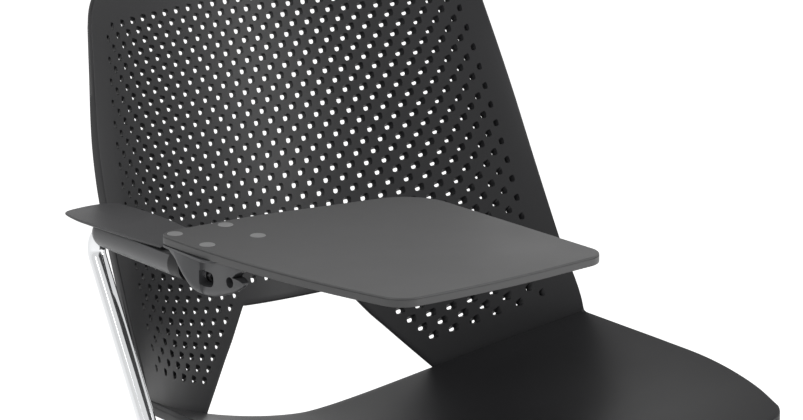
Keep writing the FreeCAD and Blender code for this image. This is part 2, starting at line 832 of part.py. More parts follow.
# Arm pad
# A thin leaf-shaped pad screwed on the barrel's flat. It is wide and rounded behind, comes to a soft
# point at its outer rear, and ends square just behind the tablet.
PAD_INNER_SHARES = (
    (1.0, 0.06),
    (1.0, 0.56),
    (0.9, 0.86),
    (0.66, 0.93),
    (0.32, 0.99),
    (-0.1, 1.0),
    (-0.45, 0.95),
)
PAD_OUTER_SHARES = ((0.92, 0.762), (0.66, 0.996), (0.42, 0.976), (0.23, 0.928), (-0.45, 0.723))
PAD_FRONT_SHARES = (0.488, 0.91)


def make_pad():
    low = hinge_height + size("barrel_flat_rise")
    rear = size("pad_rear_reach")
    front = -size("pad_front_reach")
    inner_width = size("pad_inner_width")
    outer_width = size("pad_outer_width")
    outer = [Vector(arm_x - outer_width * PAD_FRONT_SHARES[0], front, low)]
    for along, across in reversed(PAD_OUTER_SHARES):
        outer.append(Vector(arm_x - outer_width * across, rear * along, low))
    inner = []
    for along, across in PAD_INNER_SHARES:
        inner.append(Vector(arm_x + inner_width * across, rear * along, low))
    inner.append(Vector(arm_x + inner_width * PAD_FRONT_SHARES[1], front, low))
    edges = [spline(outer + inner).toShape()]
    edges.append(Part.makeLine(inner[-1], outer[0]))
    plate = Part.Face(Part.Wire(edges)).extrude(Vector(0, 0, size("pad_thickness")))
    top = low + size("pad_thickness")
    rim = [edge for edge in plate.Edges if edge_is_at_height(edge, top)]
    plate = plate.makeChamfer(size("pad_edge_round"), rim)
    for place in pad_stud_places():
        hole = Part.makeCylinder(
            size("pad_stud_radius") + size("fit_clearance"),
            size("pad_thickness") / 2,
            Vector(arm_x, place, low),
        )
        plate = plate.cut(hole)
    return plate


def edge_is_at_height(edge, level):
    return all(abs(vertex.Point.z - level) < Part.Precision.confusion() for vertex in edge.Vertexes)


def pad_stud(place):
    """A stud moulded into the pad's underside that locks in the barrel."""
    start = hinge_height + size("barrel_flat_rise") - size("pad_stud_length") + size("pad_thickness")
    length = size("pad_stud_length") - size("pad_thickness") / 2 - size("seat_clearance")
    return Part.makeCylinder(size("pad_stud_radius"), length, Vector(arm_x, place, start))


feature("arm_barrel", make_barrel())
feature("arm_pad", make_pad())
feature("arm_pad_studs", Part.makeCompound([pad_stud(place) for place in pad_stud_places()]))

# Hinge spindle
# A turned steel pin pressed in the barrel. The keel of the tablet turns on it and is held by a spring
# washer and a nut on its threaded end.
spindle_y = "-Sizes.spindle_reach"
shaft = cylinder(
    "spindle_shaft",
    "Y",
    Radius="Sizes.spindle_radius",
    Height="Sizes.bush_length + Sizes.keel_bearing_length + Sizes.spindle_tail - Sizes.seat_clearance",
    place_x="-Sizes.arm_axis_reach",
    place_y=spindle_y,
    place_z="Sizes.hinge_height",
)
thread = cylinder(
    "spindle_thread",
    "Y",
    Radius="Sizes.spindle_thread_radius",
    Height="Sizes.spindle_thread_length",
    place_x="-Sizes.arm_axis_reach",
    place_y=spindle_y + " - Sizes.spindle_thread_length",
    place_z="Sizes.hinge_height",
)
finish(fuse("hinge_spindle", [shaft, thread]), "hinge_spindle")

# Hinge bush
# An acetal collar as wide as the barrel stands between the barrel and the keel. The quarter that is left
# of its slimmer front end is the lug that the stop pin meets at each end of the tablet's travel.
collar = cylinder(
    "bush_collar",
    "Y",
    Radius="Sizes.barrel_radius",
    Height="Sizes.collar_length",
    place_x="-Sizes.arm_axis_reach",
    place_y="-Sizes.barrel_front_reach - Sizes.collar_length",
    place_z="Sizes.hinge_height",
)
lug_ring = cylinder(
    "bush_lug_ring",
    "Y",
    Radius="Sizes.lug_radius",
    Height="Sizes.bush_length",
    place_x="-Sizes.arm_axis_reach",
    place_y="-Sizes.barrel_front_reach - Sizes.bush_length",
    place_z="Sizes.hinge_height",
)
collar_bore = cylinder(
    "bush_bore",
    "Y",
    Radius="Sizes.spindle_radius + Sizes.fit_clearance",
    Height="Sizes.bush_length + 2 * Sizes.overrun",
    place_x="-Sizes.arm_axis_reach",
    place_y="-Sizes.barrel_front_reach - Sizes.bush_length - Sizes.overrun",
    place_z="Sizes.hinge_height",
)
lower_relief = box(
    "bush_lower_relief",
    Length="2 * Sizes.overrun",
    Width="Sizes.lug_length + Sizes.overrun",
    Height="Sizes.overrun",
    place_x="-Sizes.arm_axis_reach - Sizes.overrun",
    place_y="-Sizes.barrel_front_reach - Sizes.bush_length - Sizes.overrun",
    place_z="Sizes.hinge_height - Sizes.overrun",
)
outer_relief = box(
    "bush_outer_relief",
    Length="Sizes.overrun",
    Width="Sizes.lug_length + Sizes.overrun",
    Height="2 * Sizes.overrun",
    place_x="-Sizes.arm_axis_reach - Sizes.overrun + Sizes.stop_pin_radius + Sizes.stop_clearance",
    place_y="-Sizes.barrel_front_reach - Sizes.bush_length - Sizes.overrun",
    place_z="Sizes.hinge_height - Sizes.overrun",
)
ring = cut("bush_ring", fuse("bush_body", [collar, lug_ring]), collar_bore)
relieved = cut("bush_relieved", ring, lower_relief)
finish(cut("hinge_bush", relieved, outer_relief), "hinge_bush")

# Keel bracket
# A die-cast bracket shaped like the keel of a boat. Its flange is screwed to the tablet's underside. Its
# stern is a hood round the collar, its middle is bored for the spindle, and the pocket for the nut
# breaks through both of its tapering sides. A slot at the bow leaves a beak.
keel_rear = -size("barrel_front_reach") - size("keel_stern_gap")
tablet_low = size("tablet_low_height")
KEEL_PROFILE_SHARES = (
    (0.0, 0.0),
    (0.036, 0.125),
    (0.103, 0.306),
    (0.159, 0.389),
    (0.215, 0.55),
    (0.297, 0.75),
    (0.385, 0.944),
    (0.447, 1.0),
    (0.544, 0.967),
    (0.697, 0.839),
    (0.851, 0.675),
    (1.0, 0.4),
)
KEEL_BEAK_SHARES = ((1.0, 0.37), (0.92, 0.345), (0.845, 0.32), (0.852, 0.22), (0.9, 0.14), (1.0, 0.1))
KEEL_PLAN_SHARES = (
    (-0.1, 1.0),
    (0.0, 1.0),
    (0.14, 0.99),
    (0.24, 0.94),
    (0.32, 0.85),
    (0.38, 0.73),
    (0.44, 0.55),
    (0.5, 0.45),
    (0.58, 0.42),
    (0.76, 0.39),
    (0.91, 0.3),
    (1.02, 0.2),
)
KEEL_NOTCH_SHARES = (0.79, 0.47)


def keel_point(along, down):
    return Vector(arm_x, keel_rear - along * size("keel_length"), tablet_low - down * size("keel_depth"))


def bush_end():
    return -size("barrel_front_reach") - size("bush_length")


def hinge_cylinder(radius, front, rear):
    """A cylinder about the hinge line between two places along it."""
    return Part.makeCylinder(radius, rear - front, Vector(arm_x, front, hinge_height), Vector(0, 1, 0))


def keel_side_view():
    half_width = size("keel_half_width")
    belly = spline([keel_point(along, down) for along, down in KEEL_PROFILE_SHARES])
    beak = spline([keel_point(along, down) for along, down in KEEL_BEAK_SHARES])
    bow = keel_point(KEEL_BEAK_SHARES[-1][0], 0.0)
    edges = [belly.toShape()]
    edges.append(Part.makeLine(keel_point(*KEEL_PROFILE_SHARES[-1]), keel_point(*KEEL_BEAK_SHARES[0])))
    edges.append(beak.toShape())
    edges.append(Part.makeLine(keel_point(*KEEL_BEAK_SHARES[-1]), bow))
    edges.append(Part.makeLine(bow, keel_point(*KEEL_PROFILE_SHARES[0])))
    side_view = Part.Face(Part.Wire(edges))
    side_view.translate(Vector(-half_width, 0, 0))
    return side_view.extrude(Vector(2 * half_width, 0, 0))


def keel_section():
    """The keel's cross-section: upright sides that run into a round belly, along Y."""
    half_width = size("keel_half_width")
    depth = size("keel_depth")
    waist = tablet_low - depth + half_width
    ahead = keel_rear - size("keel_length") - overrun
    left = Vector(arm_x - half_width, ahead, waist)
    right = Vector(arm_x + half_width, ahead, waist)
    low = Vector(arm_x, ahead, tablet_low - depth)
    top_left = Vector(arm_x - half_width, ahead, tablet_low)
    top_right = Vector(arm_x + half_width, ahead, tablet_low)
    edges = [Part.Arc(left, low, right).toShape(), Part.makeLine(right, top_right)]
    edges.append(Part.makeLine(top_right, top_left))
    edges.append(Part.makeLine(top_left, left))
    return Part.Face(Part.Wire(edges)).extrude(Vector(0, size("keel_length") + 2 * overrun, 0))


def keel_plan():
    """The keel seen from below: full width at the stern, tapering to the beak."""
    half_width = size("keel_half_width")
    near = []
    far = []
    for along, across in KEEL_PLAN_SHARES:
        place = keel_point(along, 2.0)
        near.append(place - Vector(half_width * across, 0, 0))
        far.append(place + Vector(half_width * across, 0, 0))
    edges = [spline(near).toShape(), Part.makeLine(near[-1], far[-1])]
    edges.append(spline(list(reversed(far))).toShape())
    edges.append(Part.makeLine(far[0], near[0]))
    return Part.Face(Part.Wire(edges)).extrude(Vector(0, 0, 3 * size("keel_depth")))


def keel_flange():
    width = size("keel_flange_width")
    length = size("keel_flange_length")
    thick = size("keel_flange_thickness")
    rear = -size("tablet_rear") - size("keel_flange_inset")
    corner = Vector(arm_x - size("keel_half_width"), rear - length, tablet_low - thick)
    plate = Part.makeBox(width, length, thick, corner)
    upright = [edge for edge in plate.Edges if is_upright(edge)]
    return plate.makeFillet(size("keel_flange_corner"), upright)


def is_upright(edge):
    ends = [vertex.Point for vertex in edge.Vertexes]
    return (ends[0] - ends[-1]).cross(Vector(0, 0, 1)).Length < Part.Precision.confusion()


def stop_pin_shape(clearance):
    """The stop pin stands in the keel above the spindle and reaches into the groove of the bush."""
    low = hinge_height + size("spindle_radius") + size("seat_clearance")
    place = Vector(arm_x, bush_end() + size("lug_length") / 2, low)
    return Part.makeCylinder(size("stop_pin_radius") + clearance, tablet_low - low, place)


def tablet_screw_places():
    places = []
    for across in (0, 1):
        for along in (0, 1):
            outer = -size("tablet_outer") + size("cap_inset_x") + across * size("cap_spacing_x")
            outer += along * size("cap_skew")
            rear = -size("tablet_rear") - size("cap_inset_y") - along * size("cap_spacing_y")
            places.append(Vector(outer, rear, 0))
    return places


def make_keel():
    body = keel_side_view().common(keel_section()).common(keel_plan())
    body = body.fuse(keel_flange())
    pocket_rear = -size("spindle_reach")
    pocket_front = pocket_rear - size("nut_pocket_length")
    hood_radius = size("barrel_radius") + size("keel_hood_clearance")
    hood_end = bush_end() + size("lug_length") - size("seat_clearance")
    lug_end = bush_end() - size("seat_clearance")
    stern = keel_rear + overrun
    body = body.cut(hinge_cylinder(hood_radius, hood_end, stern))
    body = body.cut(hinge_cylinder(size("lug_radius") + size("seat_clearance"), lug_end, stern))
    running_radius = size("spindle_radius") + size("running_clearance")
    body = body.cut(hinge_cylinder(running_radius, pocket_front, stern))
    body = body.cut(hinge_cylinder(size("nut_pocket_radius"), pocket_front, pocket_rear))
    notch_reach = Vector(size("keel_half_width"), 0, 0)
    notch_start = keel_point(*KEEL_NOTCH_SHARES) - notch_reach
    notch = Part.makeCylinder(size("keel_notch_radius"), notch_reach.Length, notch_start, notch_reach)
    body = body.cut(notch)
    body = body.cut(stop_pin_shape(size("stop_clearance")))
    for place in tablet_screw_places():
        depth = size("keel_flange_thickness") + size("seat_clearance")
        pilot = Part.makeCylinder(
            size("tablet_screw_radius") + size("fit_clearance"),
            depth + overrun,
            Vector(place.x, place.y, tablet_low - depth),
        )
        body = body.cut(pilot)
    return body.removeSplitter()


feature("keel_bracket", make_keel())
feature("stop_pin", stop_pin_shape(0.0))

# Spring washer and nut on the spindle's thread
washer_y = spindle_y + " - Sizes.spring_thickness"
washer_disc = cylinder(
    "spring_disc",
    "Y",
    Radius="Sizes.spring_radius",
    Height="Sizes.spring_thickness",
    place_x="-Sizes.arm_axis_reach",
    place_y=washer_y,
    place_z="Sizes.hinge_height",
)
washer_bore = cylinder(
    "spring_bore",
    "Y",
    Radius="Sizes.spindle_thread_radius + Sizes.fit_clearance",
    Height="2 * Sizes.overrun",
    place_x="-Sizes.arm_axis_reach",
    place_y=washer_y + " - Sizes.overrun",
    place_z="Sizes.hinge_height",
)
finish(cut("spring_washer", washer_disc, washer_bore), "spring_washer")

nut_body = doc.addObject("Part::Prism", "nut_body")
nut_body.Polygon = 6
nut_body.Placement = Placement(Vector(0, 0, 0), AXIS_TURN["Y"])
bind(
    nut_body,
    Circumradius="Sizes.nut_across_flats / 2 / cos(30 deg)",
    Height="Sizes.nut_height",
    place_x="-Sizes.arm_axis_reach",
    place_y=washer_y + " - Sizes.nut_height",
    place_z="Sizes.hinge_height",
)
nut_bore = cylinder(
    "nut_bore",
    "Y",
    Radius="Sizes.spindle_thread_radius + Sizes.running_clearance",
    Height="2 * Sizes.overrun",
    place_x="-Sizes.arm_axis_reach",
    place_y=washer_y + " - Sizes.overrun",
    place_z="Sizes.hinge_height",
)
finish(cut("spindle_nut", nut_body, nut_bore), "spindle_nut")


# Writing tablet
# A moulded board drawn as a sketch of its outline, padded to its thickness. Its corners are rounded,
# and four counterbored holes over the keel's flange take the screws and their caps.
def sketch_on_floor(body, name):
    sketch = body.newObject("Sketcher::SketchObject", name)
    plane = [item for item in body.Origin.OriginFeatures if item.Role == "XY_Plane"][0]
    sketch.AttachmentSupport = [(plane, "")]
    sketch.MapMode = "FlatFace"
    return sketch


def make_board():
    body = doc.addObject("PartDesign::Body", "tablet_board")
    sketch = sketch_on_floor(body, "tablet_outline")
    sketch.setExpression("AttachmentOffset.Base.z", "Sizes.tablet_low_height")
    corners = [
        ("Sizes.tablet_outer", "Sizes.tablet_rear"),
        ("Sizes.tablet_outer - Sizes.tablet_rear_flat", "Sizes.tablet_rear"),
        ("Sizes.tablet_outer - Sizes.tablet_rear_width", "Sizes.tablet_rear + Sizes.tablet_rear_slant"),
        (
            "Sizes.tablet_outer - Sizes.tablet_rear_width - Sizes.tablet_inner_spread",
            "Sizes.tablet_front - Sizes.tablet_front_slant",
        ),
        ("Sizes.tablet_outer - Sizes.tablet_front_flat", "Sizes.tablet_front"),
        ("Sizes.tablet_outer - Sizes.tablet_front_inset", "Sizes.tablet_front"),
        (
            "Sizes.tablet_outer - Sizes.tablet_side_inset",
            "Sizes.tablet_rear + Sizes.tablet_side_reach",
        ),
    ]
    rough = []
    for across, along in corners:
        rough.append(Vector(-evaluate(across), -evaluate(along), 0))
    for index, point in enumerate(rough):
        sketch.addGeometry(Part.LineSegment(point, rough[(index + 1) % len(rough)]), False)
    for index in range(len(corners)):
        following = (index + 1) % len(corners)
        sketch.addConstraint(Sketcher.Constraint("Coincident", index, 2, following, 1))
    for index, (across, along) in enumerate(corners):
        place = rough[index]
        number = sketch.addConstraint(Sketcher.Constraint("DistanceX", index, 1, -1, 1, -place.x))
        sketch.setExpression("Constraints[%d]" % number, across)
        number = sketch.addConstraint(Sketcher.Constraint("DistanceY", index, 1, -1, 1, -place.y))
        sketch.setExpression("Constraints[%d]" % number, along)
    pad = body.newObject("PartDesign::Pad", "tablet_pad")
    pad.Profile = sketch
    pad.setExpression("Length", "Sizes.tablet_thickness")
    doc.recompute()
    radii = (
        "tablet_pivot_corner",
        "tablet_rear_blend",
        "tablet_far_corner",
        "tablet_inner_corner",
        "tablet_front_blend",
        "tablet_outer_corner",
        "tablet_side_blend",
    )
    previous = pad
    for point, radius in zip(rough, radii):
        edge_name = upright_edge_name(previous.Shape, point)
        fillet = body.newObject("PartDesign::Fillet", radius + "_fillet")
        fillet.Base = (previous, [edge_name])
        fillet.setExpression("Radius", "Sizes." + radius)
        doc.recompute()
        previous = fillet
    top = [
        "Edge%d" % (number + 1)
        for number, edge in enumerate(previous.Shape.Edges)
        if edge_is_at_height(edge, size("tablet_top_height"))
    ]
    rounded = body.newObject("PartDesign::Fillet", "tablet_top_round")
    rounded.Base = (previous, top)
    rounded.setExpression("Radius", "Sizes.tablet_edge_round")
    doc.recompute()
    holes = body.newObject("Sketcher::SketchObject", "tablet_hole_places")
    plane = [item for item in body.Origin.OriginFeatures if item.Role == "XY_Plane"][0]
    holes.AttachmentSupport = [(plane, "")]
    holes.MapMode = "FlatFace"
    holes.setExpression("AttachmentOffset.Base.z", "Sizes.tablet_top_height")
    add_hole_circles(holes, "Sizes.cap_radius + Sizes.cap_clearance")
    sink = body.newObject("PartDesign::Pocket", "tablet_cap_sinks")
    sink.Profile = holes
    sink.setExpression("Length", "Sizes.cap_depth")
    head_places = body.newObject("Sketcher::SketchObject", "tablet_head_places")
    head_places.AttachmentSupport = [(plane, "")]
    head_places.MapMode = "FlatFace"
    head_places.setExpression("AttachmentOffset.Base.z", "Sizes.tablet_top_height")
    add_hole_circles(head_places, "Sizes.tablet_screw_head_radius + Sizes.fit_clearance")
    head_sink = body.newObject("PartDesign::Pocket", "tablet_head_sinks")
    head_sink.Profile = head_places
    head_sink.setExpression("Length", "Sizes.cap_depth + Sizes.tablet_screw_head_height")
    through = body.newObject("Sketcher::SketchObject", "tablet_screw_places")
    through.AttachmentSupport = [(plane, "")]
    through.MapMode = "FlatFace"
    through.setExpression("AttachmentOffset.Base.z", "Sizes.tablet_top_height")
    add_hole_circles(through, "Sizes.tablet_screw_radius + Sizes.fit_clearance")
    bore = body.newObject("PartDesign::Pocket", "tablet_screw_holes")
    bore.Profile = through
    bore.setExpression("Length", "Sizes.tablet_thickness")
    body.Tip = bore
    doc.recompute()
    return finish(body, "tablet_board")


def add_hole_circles(sketch, radius):
    for across in (0, 1):
        for along in (0, 1):
            reach_x = "Sizes.tablet_outer - Sizes.cap_inset_x - %d * Sizes.cap_spacing_x" % across
            reach_x += " - %d * Sizes.cap_skew" % along
            reach_y = "Sizes.tablet_rear + Sizes.cap_inset_y + %d * Sizes.cap_spacing_y" % along
            centre = Vector(-evaluate(reach_x), -evaluate(reach_y), 0)
            circle = Part.Circle(centre, Vector(0, 0, 1), evaluate(radius))
            index = sketch.addGeometry(circle, False)
            number = sketch.addConstraint(Sketcher.Constraint("Radius", index, evaluate(radius)))
            sketch.setExpression("Constraints[%d]" % number, radius)
            number = sketch.addConstraint(Sketcher.Constraint("DistanceX", index, 3, -1, 1, -centre.x))
            sketch.setExpression("Constraints[%d]" % number, reach_x)
            number = sketch.addConstraint(Sketcher.Constraint("DistanceY", index, 3, -1, 1, -centre.y))
            sketch.setExpression("Constraints[%d]" % number, reach_y)


def evaluate(formula):
    """The present value of a formula on the sheet."""
    return float(sheet.evalExpression(formula.replace("Sizes.", "")))


def upright_edge_name(shape, point):
    best = None
    for number, edge in enumerate(shape.Edges):
        if not is_upright(edge):
            continue
        middle = edge.CenterOfMass
        gap = math.hypot(middle.x - point.x, middle.y - point.y)
        if best is None or gap < best[0]:
            best = (gap, number + 1)
    return "Edge%d" % best[1]


make_board()


def tablet_screw(place):
    """A cheese-head screw that clamps the board to the keel's flange."""
    top = size("tablet_top_height") - size("cap_depth")
    start = Vector(place.x, place.y, top - size("tablet_screw_length"))
    shank = Part.makeCylinder(size("tablet_screw_radius"), size("tablet_screw_length"), start)
    seat = Vector(place.x, place.y, top - size("tablet_screw_head_height"))
    head = Part.makeCylinder(size("tablet_screw_head_radius"), size("tablet_screw_head_height"), seat)
    return shank.fuse(head).removeSplitter()


def tablet_cap(place):
    base = Vector(place.x, place.y, size("tablet_top_height") - size("cap_depth"))
    disc = Part.makeCylinder(size("cap_radius"), size("cap_depth") + size("cap_proud"), base)
    top = size("tablet_top_height") + size("cap_proud")
    rim = [edge for edge in disc.Edges if edge_is_at_height(edge, top)]
    return disc.makeChamfer(size("cap_proud"), rim)


feature("tablet_screws", Part.makeCompound([tablet_screw(place) for place in tablet_screw_places()]))
feature("tablet_caps", Part.makeCompound([tablet_cap(place) for place in tablet_screw_places()]))

# Check and write
doc.recompute()
for obj in doc.Objects:
    if "Invalid" in obj.State or "Error" in obj.State:
        raise RuntimeError("%s is %s" % (obj.Label, obj.State))
for obj in nodes:
    if obj.Shape.isNull() or not obj.Shape.isValid():
        raise RuntimeError("%s has no valid shape" % obj.Label)
for obj in nodes:
    obj.Shape.exportStep("parts/%s.step" % obj.Label)
    bounds = obj.Shape.BoundBox
    print(
        "%-20s solids %d volume %9.0f  x %7.1f %7.1f  y %7.1f %7.1f  z %7.1f %7.1f"
        % (
            obj.Label,
            len(obj.Shape.Solids),
            obj.Shape.Volume,
            bounds.XMin,
            bounds.XMax,
            bounds.YMin,
            bounds.YMax,
            bounds.ZMin,
            bounds.ZMax,
        )
    )
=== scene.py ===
import bmesh
import bpy
import math
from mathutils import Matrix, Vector
from mathutils.bvhtree import BVHTree
from mathutils.interpolate import poly_3d_calc


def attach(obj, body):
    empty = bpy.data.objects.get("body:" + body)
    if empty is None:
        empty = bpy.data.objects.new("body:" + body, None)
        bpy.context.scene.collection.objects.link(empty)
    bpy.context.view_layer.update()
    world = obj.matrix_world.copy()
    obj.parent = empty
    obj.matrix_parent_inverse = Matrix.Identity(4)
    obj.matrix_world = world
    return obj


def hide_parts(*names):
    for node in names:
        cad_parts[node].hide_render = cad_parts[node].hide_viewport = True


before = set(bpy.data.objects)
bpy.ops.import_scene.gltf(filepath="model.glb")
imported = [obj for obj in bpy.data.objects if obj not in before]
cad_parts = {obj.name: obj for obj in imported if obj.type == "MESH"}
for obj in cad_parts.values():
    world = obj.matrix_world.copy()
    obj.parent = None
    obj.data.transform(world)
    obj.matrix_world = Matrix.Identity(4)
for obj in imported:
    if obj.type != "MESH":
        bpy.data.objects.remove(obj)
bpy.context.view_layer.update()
scene = bpy.context.scene

# Studio
# The chair stands on a plain pale floor. Two large soft lamps and a pale surround light it, and the
# camera sees white behind it. The camera is where the photograph was taken from.
scene.view_settings.view_transform = "Standard"

camera_place = Vector((-2.1813, -3.0518, 1.6394))
camera_azimuth = math.radians(-35.5003)
camera_elevation = math.radians(14.7487)
camera_data = bpy.data.cameras.new("photo_camera")
camera_data.sensor_width = 36.0
camera_data.lens = 198.74
camera = bpy.data.objects.new("photo_camera", camera_data)
camera.location = camera_place
camera.rotation_euler = (math.pi / 2 - camera_elevation, 0.0, camera_azimuth)
scene.collection.objects.link(camera)
scene.camera = camera


def calc(tree, operation, *values):
    """The result of a maths node on sockets or plain numbers."""
    node = tree.nodes.new("ShaderNodeMath")
    node.operation = operation
    for socket, value in zip(node.inputs, values):
        if isinstance(value, bpy.types.NodeSocket):
            tree.links.new(value, socket)
        else:
            socket.default_value = value
    return node.outputs[0]


surround_level = 0.3
world = bpy.data.worlds.new("pale_surround")
scene.world = world
world.use_nodes = True
sky = world.node_tree
sky.nodes.clear()
seen = sky.nodes.new("ShaderNodeLightPath")
seen_or_mirrored = calc(sky, "MAXIMUM", seen.outputs["Is Camera Ray"], seen.outputs["Is Glossy Ray"])
any_clear_ray = calc(sky, "MAXIMUM", seen_or_mirrored, seen.outputs["Is Transmission Ray"])
choice = sky.nodes.new("ShaderNodeMixShader")
sky.links.new(any_clear_ray, choice.inputs[0])
for number, level in ((1, surround_level), (2, 1.0)):
    glow = sky.nodes.new("ShaderNodeBackground")
    glow.inputs["Color"].default_value = (1.0, 1.0, 1.0, 1.0)
    glow.inputs["Strength"].default_value = level
    sky.links.new(glow.outputs[0], choice.inputs[number])
sky_output = sky.nodes.new("ShaderNodeOutputWorld")
sky.links.new(choice.outputs[0], sky_output.inputs["Surface"])

soft_lamps = (
    ("front_lamp", (2.0, -2.7, 1.5), 1.8, 48.0),
    ("left_lamp", (-2.6, -0.4, 2.4), 1.6, 26.0),
)
lamp_target = Vector((0.0, 0.0, 0.6))
for lamp_name, lamp_place, lamp_width, lamp_power in soft_lamps:
    lamp_data = bpy.data.lights.new(lamp_name, "AREA")
    lamp_data.shape = "SQUARE"
    lamp_data.size = lamp_width
    lamp_data.energy = lamp_power
    lamp = bpy.data.objects.new(lamp_name, lamp_data)
    lamp.location = lamp_place
    lamp.rotation_euler = (lamp_target - lamp.location).to_track_quat("-Z", "Y").to_euler()
    scene.collection.objects.link(lamp)

floor_reach = 12.0
floor_tone = 0.8
floor_glow_level = 0.9
floor_mesh = bpy.data.meshes.new("pale_floor")
floor_corners = [(-floor_reach, -floor_reach, 0), (floor_reach, -floor_reach, 0)]
floor_corners += [(floor_reach, floor_reach, 0), (-floor_reach, floor_reach, 0)]
floor_mesh.from_pydata(floor_corners, [], [(0, 1, 2, 3)])
floor = bpy.data.objects.new("pale_floor", floor_mesh)
scene.collection.objects.link(floor)
floor_paint = bpy.data.materials.new("pale_floor_paint")
floor_paint.use_nodes = True
paint = floor_paint.node_tree
paint.nodes.clear()
floor_diffuse = paint.nodes.new("ShaderNodeBsdfDiffuse")
floor_diffuse.inputs["Color"].default_value = (floor_tone, floor_tone, floor_tone, 1.0)
floor_seen = paint.nodes.new("ShaderNodeLightPath")
floor_clear = calc(paint, "MAXIMUM", floor_seen.outputs["Is Camera Ray"], floor_seen.outputs["Is Glossy Ray"])
floor_glow = paint.nodes.new("ShaderNodeEmission")
paint.links.new(calc(paint, "MULTIPLY", floor_clear, floor_glow_level), floor_glow.inputs["Strength"])
floor_sum = paint.nodes.new("ShaderNodeAddShader")
paint.links.new(floor_diffuse.outputs[0], floor_sum.inputs[0])
paint.links.new(floor_glow.outputs[0], floor_sum.inputs[1])
floor_output = paint.nodes.new("ShaderNodeOutputMaterial")
paint.links.new(floor_sum.outputs[0], floor_output.inputs["Surface"])
floor_mesh.materials.append(floor_paint)

# Tube frame
# Two bent steel tubes make the sides, each with a front leg, a seat rail and a rear leg. Two cross tubes
# are coped and welded between the rails, and the whole frame is chromed bright.


def shader_group(name, inputs, outputs):
    """An empty shader node group with named number or colour sockets."""
    group = bpy.data.node_groups.new(name, "ShaderNodeTree")
    for socket_name, kind, value in inputs:
        socket = group.interface.new_socket(name=socket_name, in_out="INPUT", socket_type=kind)
        socket.default_value = value
    for socket_name, kind in outputs:
        group.interface.new_socket(name=socket_name, in_out="OUTPUT", socket_type=kind)
    return group, group.nodes.new("NodeGroupInput"), group.nodes.new("NodeGroupOutput")


def make_surface_marks():
    """Slow cloudiness and fine specks over a surface, from 0 to 1."""
    group, given, result = shader_group(
        "surface_marks",
        (
            ("Cloud scale", "NodeSocketFloat", 9.0),
            ("Speck scale", "NodeSocketFloat", 700.0),
            ("Speck share", "NodeSocketFloat", 0.35),
        ),
        (("Mask", "NodeSocketFloat"), ("Specks", "NodeSocketFloat")),
    )
    place = group.nodes.new("ShaderNodeTexCoord")
    cloud = group.nodes.new("ShaderNodeTexNoise")
    cloud.inputs["Detail"].default_value = 3.0
    speck = group.nodes.new("ShaderNodeTexNoise")
    speck.inputs["Detail"].default_value = 1.0
    group.links.new(place.outputs["Object"], cloud.inputs["Vector"])
    group.links.new(place.outputs["Object"], speck.inputs["Vector"])
    group.links.new(given.outputs["Cloud scale"], cloud.inputs["Scale"])
    group.links.new(given.outputs["Speck scale"], speck.inputs["Scale"])
    both = group.nodes.new("ShaderNodeMix")
    group.links.new(given.outputs["Speck share"], both.inputs["Factor"])
    group.links.new(cloud.outputs["Fac"], both.inputs[2])
    group.links.new(speck.outputs["Fac"], both.inputs[3])
    group.links.new(both.outputs[0], result.inputs["Mask"])
    group.links.new(speck.outputs["Fac"], result.inputs["Specks"])
    return group


surface_marks = make_surface_marks()


def finish_material(name, dark, light, rough_low, rough_high, metallic, bump_height, specular=0.5, **marks):
    """A Principled finish whose colour, roughness and relief vary with the surface marks."""
    material = bpy.data.materials.new(name)
    material.use_nodes = True
    tree = material.node_tree
    shader = tree.nodes["Principled BSDF"]
    shader.inputs["Metallic"].default_value = metallic
    shader.inputs["Specular IOR Level"].default_value = specular
    pattern = tree.nodes.new("ShaderNodeGroup")
    pattern.node_tree = surface_marks
    for socket_name, value in marks.items():
        pattern.inputs[socket_name.replace("_", " ").capitalize()].default_value = value
    tint = tree.nodes.new("ShaderNodeMix")
    tint.data_type = "RGBA"
    tint.inputs[6].default_value = (*dark, 1.0)
    tint.inputs[7].default_value = (*light, 1.0)
    tree.links.new(pattern.outputs["Mask"], tint.inputs["Factor"])
    tree.links.new(tint.outputs[2], shader.inputs["Base Color"])
    gloss = tree.nodes.new("ShaderNodeMapRange")
    gloss.inputs["From Min"].default_value = 0.3
    gloss.inputs["From Max"].default_value = 0.7
    gloss.inputs["To Min"].default_value = rough_low
    gloss.inputs["To Max"].default_value = rough_high
    tree.links.new(pattern.outputs["Mask"], gloss.inputs["Value"])
    tree.links.new(gloss.outputs["Result"], shader.inputs["Roughness"])
    if bump_height > 0.0:
        relief = tree.nodes.new("ShaderNodeBump")
        relief.inputs["Distance"].default_value = bump_height
        relief.inputs["Strength"].default_value = 1.0
        tree.links.new(pattern.outputs["Specks"], relief.inputs["Height"])
        tree.links.new(relief.outputs["Normal"], shader.inputs["Normal"])
    return material


def paint_node(node_name, material):
    """Give a CAD node that stays its finish."""
    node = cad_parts[node_name]
    if not node.material_slots:
        node.data.materials.append(material)
    for slot in node.material_slots:
        slot.material = material


bright_chrome = finish_material(
    "bright_chrome", (0.62, 0.63, 0.64), (0.72, 0.73, 0.74), 0.05, 0.11, 1.0, 0.0,
    cloud_scale=14.0, speck_share=0.2,
)
for tube_name in ("left_side_frame", "right_side_frame", "front_cross_tube", "rear_cross_tube"):
    paint_node(tube_name, bright_chrome)

